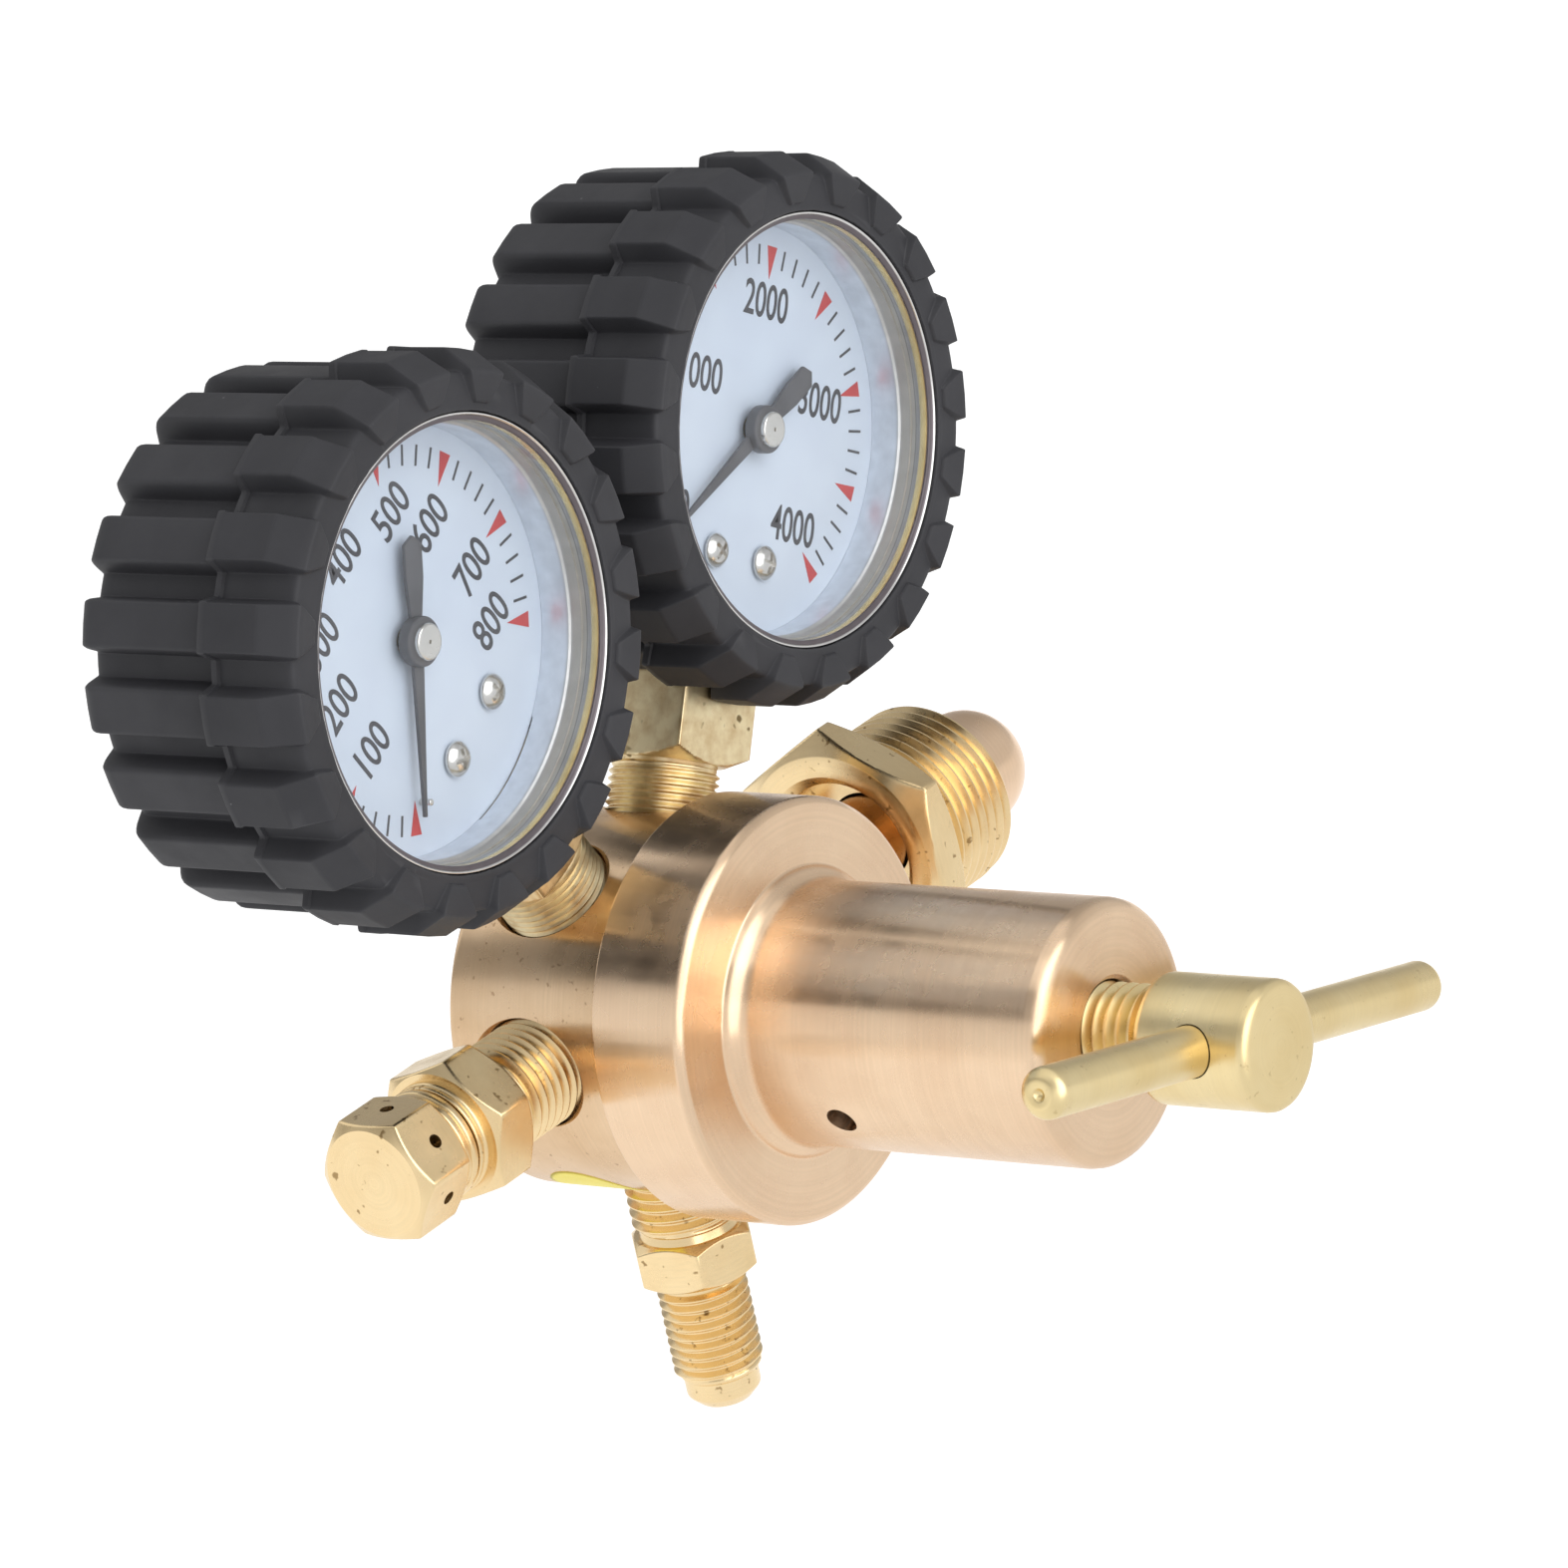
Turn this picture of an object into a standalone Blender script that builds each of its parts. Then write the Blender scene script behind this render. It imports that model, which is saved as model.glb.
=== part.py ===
"""Single-stage gas cylinder regulator with two booted gauges, as separate solids.

Metres, +Z up, bonnet towards -Y. The origin is the tip of the inlet nipple, whose axis
is the X axis; the body stands inletReach away from it on the -X side.
"""
import math

import bmesh
import bpy

mm = 0.001

# Clearances
fitGap = 0.3 * mm            # between faces that seat on each other
slideGap = 0.4 * mm          # around pieces that slide in a bore
cutOver = 1.0 * mm           # how far a cutter stands out of what it cuts

# Body, measured forward (towards the bonnet) from the plane of the ports
bodyRadius = 25.0 * mm
bodyRear = 11.0 * mm
bodyFront = 12.2 * mm
bodyEdge = 0.6 * mm
neckStep = 3.5 * mm          # neck inside the body's rim
neckLength = 7.0 * mm
neckWall = 3.5 * mm          # neck's outside to the diaphragm recess
recessDepth = 6.7 * mm
valveBoreRadius = 7.2 * mm
seatLedge = 3.3 * mm
chamberRadius = 5.2 * mm
chamberRear = 6.0 * mm

# Ports and gas ways, measured out from the body's axis
threadRadius = 6.7 * mm
portWall = 1.0 * mm          # least metal between a bore's floor and the next bore, half each
portMouth = 0.6 * mm
gasWayRadius = 1.5 * mm
fittingBoreRadius = 2.2 * mm
gaugeAngle = math.radians(30)
inletAngle = math.radians(90)
outletAngle = math.radians(180)
reliefAngle = math.radians(-90)

# Diaphragm, its ring and its plate
diaphragmThickness = 0.6 * mm
dishRise = 1.2 * mm
dishRootInset = 1.0 * mm     # dish's root inside the recess
dishSlope = 4.5 * mm         # width of the dish's sloping side
slipThickness = 1.2 * mm
plateThickness = 1.6 * mm
springPostRadius = 7.5 * mm
springPostLength = 4.0 * mm

# Bonnet
flangeProud = 0.3 * mm       # flange wider than the body
flangeFront = 25.3 * mm
barrelRadius = 15.6 * mm
bonnetFront = 68.2 * mm
noseThickness = 8.2 * mm
springBoreRadius = 12.6 * mm
ventRadius = 1.9 * mm
ventForward = 37.9 * mm
ventAngle = math.radians(-116)
softEdge = 0.7 * mm

# Adjusting screw, bar and spring
screwRadius = 6.0 * mm
headRadius = 7.6 * mm
headGap = 7.3 * mm           # thread that shows between bonnet and head
headLength = 15.3 * mm
barRadius = 3.0 * mm
barNear = 37.1 * mm
barFar = 43.3 * mm
barAngle = math.radians(-75)
barCrown = 0.9 * mm
buttonThickness = 2.5 * mm
buttonNose = 2.0 * mm
buttonDepth = 11.2 * mm      # screw tip behind the bonnet's front face
rangeWire = 1.2 * mm
rangeRadius = 10.0 * mm
rangeTurns = 6

# Valve
seatRadius = 6.9 * mm
seatBore = 1.9 * mm
seatStand = 1.4 * mm         # how far the seat stands out of the recess floor
seatChamfer = 0.8 * mm
pinRadius = 1.5 * mm
pinHeadRadius = 3.2 * mm
pinHeadLength = 1.0 * mm
poppetRadius = 3.6 * mm
poppetLength = 2.1 * mm
poppetTailRadius = 1.3 * mm
poppetTailLength = 2.6 * mm
poppetWire = 0.35 * mm
poppetSpringRadius = 2.4 * mm
poppetTurns = 4

# Inlet nipple, filter and nut
nippleFlats = 16.0 * mm
nippleThreadOut = 6.0 * mm   # thread that shows between body and hexagon
nippleHexLength = 7.0 * mm
nippleStemRadius = 5.6 * mm
noseRadius = 7.7 * mm
noseLength = 13.5 * mm       # nose in front of the nut
noseMouth = 2.6 * mm
filterRadius = 3.1 * mm
filterLength = 9.7 * mm
filterInset = 1.7 * mm
nutPlay = 5.3 * mm           # nipple's hexagon to the nut drawn fully forward
nutHexLength = 5.7 * mm
nutLength = 21.7 * mm
nutFlats = 28.5 * mm
nutThreadRadius = 12.2 * mm
nutCounterRadius = 9.3 * mm
nutCounterDepth = 6.7 * mm
nutChamfer = 0.9 * mm
nutTurn = math.radians(26.8)         # of the hexagon, from a corner at the rear towards the top

# Relief valve
reliefFlats = 15.5 * mm
reliefThreadOut = 7.5 * mm
reliefHexLength = 7.0 * mm
collarRadius = 7.0 * mm
collarLength = 1.8 * mm
reliefNeckRadius = 4.9 * mm
reliefNeckLength = 4.8 * mm
reliefBore = 1.8 * mm
reliefChamberRadius = 4.1 * mm
reliefSeatDepth = 3.5 * mm   # seat inside the hexagon
capCollarLength = 2.3 * mm
capFlats = 13.5 * mm
capLength = 11.0 * mm
capEnd = 2.0 * mm
capVentRadius = 0.9 * mm
capVents = 6
reliefPoppetRadius = 3.6 * mm
reliefPoppetLength = 2.0 * mm
reliefTailRadius = 1.2 * mm
reliefTailLength = 4.0 * mm
reliefWire = 0.4 * mm
reliefSpringRadius = 2.6 * mm
reliefTurns = 5

# Outlet fitting
outletFlats = 14.0 * mm
outletThreadOut = 5.0 * mm
outletHexLength = 5.9 * mm
flareNeckRadius = 4.6 * mm
flareNeckLength = 1.0 * mm
flareRadius = 5.55 * mm
flareThreadLength = 12.4 * mm
flareNoseLength = 3.6 * mm
flareConeLength = 1.4 * mm
outletTurn = math.radians(48.75)     # of the hexagon, from a corner at the rear towards the inlet

# Gauges, with depths measured back from the case's rim
bootsApart = 2.6 * mm        # between the two gauges' rubber boots
rimForward = 15.85 * mm      # rim forward of the plane of the ports
caseRadius = 26.0 * mm
caseWall = 0.9 * mm
caseDepth = 27.5 * mm
lipWidth = 0.7 * mm
lipDepth = 0.8 * mm
crystalThickness = 1.8 * mm
dialDepth = 8.65 * mm
dialThickness = 0.6 * mm
dialScrewBelow = 2.6 * mm    # screw circle below the inner block's top
dialScrewAngle = math.radians(17.5)
dialScrewHead = 2.1 * mm
dialScrewHeight = 1.1 * mm
dialScrewRadius = 0.85 * mm
dialScrewLength = 4.6 * mm
stopPinRadius = 0.4 * mm
stopPinLength = 1.6 * mm
stopPinInset = 7.5 * mm      # from the case's outside
stopPinLag = math.radians(3.6)       # the pointer rests this far past the pin
zeroAngle = math.radians(225)
pointerInset = 6.0 * mm      # from the case's outside
pointerTail = 12.0 * mm
pointerTipWidth = 0.4 * mm
pointerWidth = 1.8 * mm
pointerTailWidth = 3.0 * mm
pointerThickness = 0.5 * mm
pointerStand = 1.2 * mm      # pointer's back in front of the dial
hubRadius = 2.9 * mm
hubHeight = 2.3 * mm
hubBack = 0.4 * mm           # how far the hub stands behind the blade
hubWall = 0.8 * mm
arborRadius = 0.7 * mm
stemSquare = 14.3 * mm
stemThreadOut = 3.5 * mm
squareInCase = 0.6 * mm      # how far the square reaches into the case
blockBelowSector = 4.0 * mm  # inner block's top below the sector's pivot
innerBlockWidth = 13.3 * mm
innerBlockBehind = 5.0 * mm  # behind the stem's axis
feedBelowTop = 3.4 * mm      # passage to the bourdon tube, below the block's top
feedRadius = 1.0 * mm
bourdonRadius = 19.0 * mm
bourdonHalfWidth = 1.8 * mm
bourdonHalfDepth = 3.0 * mm
bourdonStart = math.radians(243)
bourdonEnd = math.radians(-5)
bourdonSteps = 14

# Gauge movement
movementGap = 0.95 * mm      # dial to front plate
plateTop = 6.0 * mm
plateHalfWidth = 9.3 * mm
plateCorner = 2.5 * mm
movementPlate = 1.0 * mm
pivotShare = 0.8             # how far pivots run into a plate, as a share of it
plateSpacing = 5.0 * mm
pillarRadius = 1.3 * mm
pillarSide = 7.2 * mm
pillarHeights = (-10.6 * mm, 2.0 * mm, 3.6 * mm)   # low left, high left, high right
toothModule = 0.4 * mm
toothAddendum = 0.8          # in modules
toothDedendum = 1.15
toothFoot = 0.29             # half a tooth's foot and half its tip, as shares of the tooth spacing
toothTip = 0.09
pinionTeeth = 8
sectorFullTeeth = 40
sectorTeethCut = 9
gearThickness = 1.5 * mm
sectorHubRadius = 2.0 * mm
tailRadius = 7.0 * mm
tailAngle = math.radians(-12)
tailHalfWidth = 1.2 * mm
tailPinRadius = 0.6 * mm
linkAngle = math.radians(36.6)
linkLength = 12.6 * mm
linkHalfWidth = 1.3 * mm
linkThickness = 0.8 * mm

# Rubber boots
bootWall = 7.2 * mm          # rib tops out from the case
bootRearStep = 1.9 * mm
bootValley = 2.8 * mm
bootLobes = 20
lobeFoot = 0.34              # half a rib's foot and half its top, as shares of the rib spacing
lobeTop = 0.24
shieldFoot = 0.30            # the same at the ribs' narrowed front ends
shieldTip = 0.07
bootSeam = 11.2 * mm
bootSeamStep = 0.4 * mm
bootBack = 3.2 * mm
bootBackOpening = 12.0 * mm
bootFrontEase = 0.9 * mm
bootFrontChamfer = 2.4 * mm
bootRearRounding = 3.0 * mm

# Sizes that follow from the ones above
neckRadius = bodyRadius - neckStep
recessRadius = neckRadius - neckWall
dishRootRadius = recessRadius - dishRootInset
dishRadius = dishRootRadius - dishSlope
flangeRadius = bodyRadius + flangeProud
nippleHexStart = bodyRadius + nippleThreadOut
nutStart = nippleHexStart + nippleHexLength + nutPlay
noseTip = nutStart + nutLength + fitGap + noseLength
inletReach = noseTip
reliefHexStart = bodyRadius + reliefThreadOut
outletHexStart = bodyRadius + outletThreadOut
stemSquareStart = bodyRadius + stemThreadOut
bootRadius = caseRadius + bootWall
bootRearRadius = bootRadius - bootRearStep
bootDepth = caseDepth + fitGap + bootBack
gaugeDistance = (bootRadius + bootsApart / 2) / math.sin(gaugeAngle)
stopPinCircle = caseRadius - stopPinInset
pointerTip = caseRadius - pointerInset
portRadius = threadRadius + fitGap
portBottom = (portRadius + portWall) / math.sin(gaugeAngle)
fittingStart = portBottom + fitGap
neckFront = bodyFront + neckLength
recessFloor = neckFront - recessDepth
feedDistance = recessRadius - gasWayRadius - fitGap
diaphragmRear = neckFront + fitGap
slipRear = diaphragmRear + diaphragmThickness + fitGap
shoulder = slipRear + slipThickness + fitGap
plateRear = diaphragmRear + dishRise + diaphragmThickness + fitGap
plateFront = plateRear + plateThickness
slidingRadius = springBoreRadius - slideGap
screwTip = bonnetFront - buttonDepth
buttonFront = screwTip - fitGap
buttonRear = buttonFront - buttonNose - buttonThickness
headRear = bonnetFront + headGap
headFront = headRear + headLength
barForward = (headRear + headFront) / 2
seatRear = seatLedge + fitGap
seatFront = recessFloor + seatStand
pinFront = diaphragmRear + dishRise - fitGap
dialRear = dialDepth + dialThickness
movementFront = dialRear + movementGap
movementRear = movementFront + movementPlate + plateSpacing
linkDepth = movementFront + movementPlate + fitGap
gearDepth = linkDepth + linkThickness + fitGap
sectorDrop = toothModule * (pinionTeeth + sectorFullTeeth) / 2
innerBlockTop = sectorDrop + blockBelowSector
dialScrewCircle = innerBlockTop + dialScrewBelow
arborHole = arborRadius + fitGap
hubBoreEnd = -dialDepth + pointerStand + hubHeight - hubWall


def clearScene():
    for obj in list(bpy.data.objects):
        bpy.data.objects.remove(obj, do_unlink=True)


def newCollection(name):
    group = bpy.data.collections.new(name)
    bpy.context.scene.collection.children.link(group)
    return group


def makeFinish(name, color, metallic, roughness):
    finish = bpy.data.materials.new(name)
    finish.use_nodes = True
    shader = finish.node_tree.nodes["Principled BSDF"]
    shader.inputs["Base Color"].default_value = (*color, 1.0)
    shader.inputs["Metallic"].default_value = metallic
    shader.inputs["Roughness"].default_value = roughness
    return finish


finishes = {
    "roseBrass": ((0.78, 0.58, 0.44), 1.0, 0.28),
    "brass": ((0.80, 0.62, 0.30), 1.0, 0.25),
    "steel": ((0.62, 0.62, 0.60), 1.0, 0.30),
    "springSteel": ((0.45, 0.45, 0.46), 1.0, 0.35),
    "rubber": ((0.035, 0.034, 0.036), 0.0, 0.62),
    "nylon": ((0.80, 0.78, 0.72), 0.0, 0.45),
    "dialPaint": ((0.82, 0.86, 0.92), 0.0, 0.40),
    "pointerPaint": ((0.20, 0.20, 0.21), 0.0, 0.45),
    "crystalClear": ((0.92, 0.95, 0.96), 0.0, 0.05),
    "sinter": ((0.55, 0.38, 0.20), 1.0, 0.60),
}


def giveFinish(obj, finish):
    color, metallic, roughness = finishes[finish]
    obj.data.materials.clear()
    obj.data.materials.append(makeFinish(obj.name + "_finish", color, metallic, roughness))


def empty(name, parent=None, location=(0, 0, 0), rotation=(0, 0, 0)):
    obj = bpy.data.objects.new(name, None)
    frames.objects.link(obj)
    obj.parent = parent
    obj.location = location
    obj.rotation_euler = rotation
    return obj


def place(obj, parent, location=(0, 0, 0), rotation=(0, 0, 0)):
    obj.parent = parent
    obj.location = location
    obj.rotation_euler = rotation
    return obj


def link(obj, group):
    group.objects.link(obj)
    return obj


def roundSteps(radius):
    """More facets on large turned pieces than on small ones."""
    if radius > 20 * mm:
        return 32
    if radius > 9 * mm:
        return 24
    if radius > 4 * mm:
        return 16
    return 8


def shadeRound(obj):
    obj.data.shade_smooth()
    obj.data.set_sharp_from_angle(angle=math.radians(50))
    return obj


def turned(name, profile, ring=False, steps=None, group=None):
    """Turns (radius, height) points about Z; they run down the outer side, top to bottom."""
    mesh = bpy.data.meshes.new(name)
    edges = [(i, i + 1) for i in range(len(profile) - 1)]
    if ring:
        edges.append((len(profile) - 1, 0))
    mesh.from_pydata([(radius, 0, height) for radius, height in profile], edges, [])
    obj = link(bpy.data.objects.new(name, mesh), group or parts)
    screw = obj.modifiers.new("turn", "SCREW")
    screw.axis = "Z"
    screw.angle = math.tau
    screw.steps = steps or roundSteps(max(radius for radius, height in profile))
    screw.render_steps = screw.steps
    screw.use_merge_vertices = True
    screw.merge_threshold = 0.00001
    screw.use_smooth_shade = True
    return obj


def solidMesh(name, build, group=None):
    """Makes a mesh object from a bmesh.ops primitive."""
    mesh = bpy.data.meshes.new(name)
    work = bmesh.new()
    build(work)
    work.to_mesh(mesh)
    work.free()
    return link(bpy.data.objects.new(name, mesh), group or parts)


def rod(name, radius, low, high, sides=None, group=None, topRadius=None):
    """A cylinder, cone or prism along Z from low to high."""
    def build(work):
        made = bmesh.ops.create_cone(work, cap_ends=True, segments=sides or roundSteps(radius),
                                     radius1=radius, depth=high - low,
                                     radius2=radius if topRadius is None else topRadius)
        bmesh.ops.translate(work, verts=made["verts"], vec=(0, 0, (low + high) / 2))
    return shadeRound(solidMesh(name, build, group))


def hexagon(name, flats, low, high, group=None):
    return rod(name, flats / math.sqrt(3), low, high, sides=6, group=group)


def block(name, size, centre=(0, 0, 0), group=None):
    def build(work):
        made = bmesh.ops.create_cube(work, size=1)
        bmesh.ops.scale(work, verts=made["verts"], vec=size)
        bmesh.ops.translate(work, verts=made["verts"], vec=centre)
    return solidMesh(name, build, group)


def meshFromCurve(curveObj, group):
    """Replaces a curve object by its welded mesh."""
    bpy.context.view_layer.update()
    graph = bpy.context.evaluated_depsgraph_get()
    mesh = bpy.data.meshes.new_from_object(curveObj.evaluated_get(graph))
    work = bmesh.new()
    work.from_mesh(mesh)
    bmesh.ops.remove_doubles(work, verts=work.verts, dist=0.000001)
    bmesh.ops.recalc_face_normals(work, faces=work.faces)
    work.to_mesh(mesh)
    work.free()
    name = curveObj.name
    curveObj.name = name + "_curve"
    obj = link(bpy.data.objects.new(name, mesh), group)
    obj.matrix_world = curveObj.matrix_world
    bpy.data.objects.remove(curveObj, do_unlink=True)
    return shadeRound(obj)


def addPoly(curve, points, closed):
    spline = curve.splines.new("POLY")
    spline.points.add(len(points) - 1)
    for target, point in zip(spline.points, points):
        target.co = (*point, 1.0)
    spline.use_cyclic_u = closed


def sheet(name, outlines, rear, thickness, group=None):
    """A flat plate from closed (x, y) outlines; the inner ones are holes."""
    curve = bpy.data.curves.new(name, "CURVE")
    curve.dimensions = "2D"
    curve.fill_mode = "BOTH"
    curve.extrude = thickness / 2
    for outline in outlines:
        addPoly(curve, [(x, y, 0) for x, y in outline], True)
    obj = link(bpy.data.objects.new(name, curve), group or parts)
    obj = meshFromCurve(obj, group or parts)
    for vertex in obj.data.vertices:
        vertex.co.z += rear + thickness / 2
    return obj


def coil(name, radius, wire, turns, low, high):
    """A round-wire spring along Z whose end turns stop level with low and high."""
    curve = bpy.data.curves.new(name, "CURVE")
    curve.dimensions = "3D"
    curve.bevel_depth = wire
    curve.bevel_resolution = 1
    curve.use_fill_caps = True
    perTurn = 6
    count = turns * perTurn
    rise = high - low - 2 * wire
    points = []
    for i in range(count + 1):
        angle = math.tau * i / perTurn
        height = low + wire + rise * i / count
        points.append((radius * math.cos(angle), radius * math.sin(angle), height))
    addPoly(curve, points, False)
    return meshFromCurve(link(bpy.data.objects.new(name, curve), parts), parts)


def useSolid(obj, other, operation):
    """Cuts, joins or keeps what is common with another object, which is then hidden."""
    if other.name not in cutters.objects:
        for group in list(other.users_collection):
            group.objects.unlink(other)
        cutters.objects.link(other)
    other.hide_render = True
    other.display_type = "WIRE"
    step = obj.modifiers.new(other.name, "BOOLEAN")
    step.operation = operation
    step.solver = "EXACT"
    step.object = other
    return obj


def cut(obj, other):
    return useSolid(obj, other, "DIFFERENCE")


def join(obj, other):
    return useSolid(obj, other, "UNION")


def keepInside(obj, other):
    return useSolid(obj, other, "INTERSECT")


def circlePoints(radius, centre=(0, 0), count=16):
    return [(centre[0] + radius * math.cos(math.tau * i / count),
             centre[1] + radius * math.sin(math.tau * i / count)) for i in range(count)]


def polar(radius, angle, centre=(0, 0)):
    return (centre[0] + radius * math.cos(angle), centre[1] + radius * math.sin(angle))


def arcPoints(radius, start, end, count, centre=(0, 0)):
    return [polar(radius, start + (end - start) * i / count, centre) for i in range(count + 1)]


def stadium(start, end, halfWidth, count=6):
    """Outline with round ends about two points."""
    along = math.atan2(end[1] - start[1], end[0] - start[0])
    quarter = math.pi / 2
    return (arcPoints(halfWidth, along - quarter, along + quarter, count, end)
            + arcPoints(halfWidth, along + quarter, along + 3 * quarter, count, start))


# Body and its ports

def buildBody():
    profile = [
        (0, -chamberRear), (chamberRadius, -chamberRear), (chamberRadius, seatLedge),
        (valveBoreRadius, seatLedge), (valveBoreRadius, recessFloor), (recessRadius, recessFloor),
        (recessRadius, neckFront), (neckRadius - bodyEdge, neckFront), (neckRadius, neckFront - bodyEdge),
        (neckRadius, bodyFront), (bodyRadius, bodyFront), (bodyRadius, -bodyRear + bodyEdge),
        (bodyRadius - bodyEdge, -bodyRear), (0, -bodyRear),
    ]
    body = place(turned("body", profile), bonnetAxis)
    for name, parent in ports.items():
        cutPort(body, name, parent)
    giveFinish(body, "roseBrass")


def cutPort(body, name, parent):
    """A tapped bore with an eased mouth, and the gas way that leads on from it."""
    bore = rod("cut_bore_" + name, portRadius, portBottom, bodyRadius + cutOver, group=cutters)
    mouth = rod("cut_mouth_" + name, portRadius - portMouth, bodyRadius - 3 * portMouth,
                bodyRadius + cutOver, group=cutters, topRadius=portRadius + 2 * portMouth + cutOver)
    if name in highPressurePorts:
        way = rod("cut_way_" + name, gasWayRadius, chamberRadius - cutOver, portBottom + cutOver,
                  group=cutters)
        place(way, parent)
    else:
        way = rod("cut_way_" + name, gasWayRadius, 0, recessFloor + cutOver, group=cutters)
        place(way, parent, (0, 0, feedDistance), (math.radians(90), 0, 0))
        wayIn = rod("cut_way_in_" + name, gasWayRadius, min(feedDistance, portBottom + cutOver),
                    portBottom + 2 * cutOver, group=cutters)
        cut(body, place(wayIn, parent))
    for cutter in (bore, mouth):
        place(cutter, parent)
    for cutter in (bore, mouth, way):
        cut(body, cutter)


def buildBonnet():
    rear = bodyFront + fitGap
    skirt = neckRadius + fitGap
    profile = [
        (screwRadius + fitGap, bonnetFront), (barrelRadius - softEdge, bonnetFront),
        (barrelRadius, bonnetFront - softEdge), (barrelRadius, flangeFront),
        (flangeRadius - softEdge, flangeFront), (flangeRadius, flangeFront - softEdge), (flangeRadius, rear),
        (skirt, rear), (skirt, shoulder), (springBoreRadius, shoulder),
        (springBoreRadius, bonnetFront - noseThickness), (screwRadius + fitGap, bonnetFront - noseThickness),
    ]
    bonnet = place(turned("bonnet", profile, ring=True), bonnetAxis)
    vent = rod("cut_vent", ventRadius, springBoreRadius - cutOver, barrelRadius + cutOver, group=cutters)
    place(vent, regulator, (0, -ventForward, 0), (0, ventAngle, 0))
    cut(bonnet, vent)
    giveFinish(bonnet, "roseBrass")


# Diaphragm stack and valve

def buildDiaphragm():
    outer = neckRadius - fitGap
    front = diaphragmRear + diaphragmThickness
    profile = [
        (0, front + dishRise), (dishRadius, front + dishRise), (dishRootRadius, front), (outer, front),
        (outer, diaphragmRear), (dishRootRadius, diaphragmRear), (dishRadius, diaphragmRear + dishRise),
        (0, diaphragmRear + dishRise),
    ]
    giveFinish(place(turned("diaphragm", profile), bonnetAxis), "rubber")
    inner = dishRootRadius + slideGap
    slipFront = slipRear + slipThickness
    ring = [(inner, slipFront), (outer, slipFront), (outer, slipRear), (inner, slipRear)]
    giveFinish(place(turned("slip_ring", ring, ring=True), bonnetAxis), "nylon")


def buildPlate():
    profile = [
        (0, plateFront + springPostLength), (springPostRadius - softEdge, plateFront + springPostLength),
        (springPostRadius, plateFront + springPostLength - softEdge), (springPostRadius, plateFront),
        (slidingRadius, plateFront), (slidingRadius, plateRear), (0, plateRear),
    ]
    giveFinish(place(turned("diaphragm_plate", profile), bonnetAxis), "steel")


def buildSpringButton():
    post = buttonRear - springPostLength
    profile = [
        (0, buttonFront), (screwRadius, buttonFront), (slidingRadius, buttonFront - buttonNose),
        (slidingRadius, buttonRear), (springPostRadius, buttonRear), (springPostRadius, post + softEdge),
        (springPostRadius - softEdge, post), (0, post),
    ]
    giveFinish(place(turned("spring_button", profile), bonnetAxis), "steel")


def buildRangeSpring():
    spring = coil("range_spring", rangeRadius, rangeWire, rangeTurns,
                  plateFront + fitGap, buttonRear - fitGap)
    giveFinish(place(spring, bonnetAxis), "springSteel")


def buildValve():
    seat = [
        (seatBore, seatFront), (seatRadius - seatChamfer, seatFront), (seatRadius, seatFront - seatChamfer),
        (seatRadius, seatRear), (seatBore, seatRear),
    ]
    giveFinish(place(turned("valve_seat", seat, ring=True), bonnetAxis), "brass")
    pin = [
        (0, pinFront), (pinHeadRadius, pinFront), (pinHeadRadius, pinFront - pinHeadLength),
        (pinRadius, pinFront - pinHeadLength), (pinRadius, seatRear), (0, seatRear),
    ]
    giveFinish(place(turned("valve_pin", pin), bonnetAxis), "steel")
    shoulderHeight = seatLedge - poppetLength
    poppet = [
        (0, seatLedge), (poppetRadius, seatLedge), (poppetRadius, shoulderHeight),
        (poppetTailRadius, shoulderHeight), (poppetTailRadius, shoulderHeight - poppetTailLength),
        (0, shoulderHeight - poppetTailLength),
    ]
    giveFinish(place(turned("poppet", poppet), bonnetAxis), "nylon")
    spring = coil("poppet_spring", poppetSpringRadius, poppetWire, poppetTurns,
                  -chamberRear + fitGap, shoulderHeight - fitGap)
    giveFinish(place(spring, bonnetAxis), "springSteel")


# Adjusting screw

def buildScrew():
    profile = [
        (0, headFront), (headRadius - softEdge, headFront), (headRadius, headFront - softEdge),
        (headRadius, headRear + softEdge), (headRadius - softEdge, headRear), (screwRadius, headRear),
        (screwRadius, screwTip + softEdge), (screwRadius - softEdge, screwTip), (0, screwTip),
    ]
    screw = place(turned("adjusting_screw", profile), bonnetAxis)
    hole = rod("cut_bar_hole", barRadius + fitGap, -headRadius - cutOver, headRadius + cutOver, sides=16,
               group=cutters)
    turn = (math.radians(-90), 0, -barAngle)
    place(hole, bonnetAxis, (0, 0, barForward), turn)
    cut(screw, hole)
    giveFinish(screw, "brass")
    bar = [
        (0, barNear), (barRadius - barCrown, barNear), (barRadius, barNear - barCrown),
        (barRadius, barCrown - barFar), (barRadius - barCrown, -barFar), (0, -barFar),
    ]
    giveFinish(place(turned("t_bar", bar, steps=16), bonnetAxis, (0, 0, barForward), turn), "brass")


# Inlet

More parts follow.
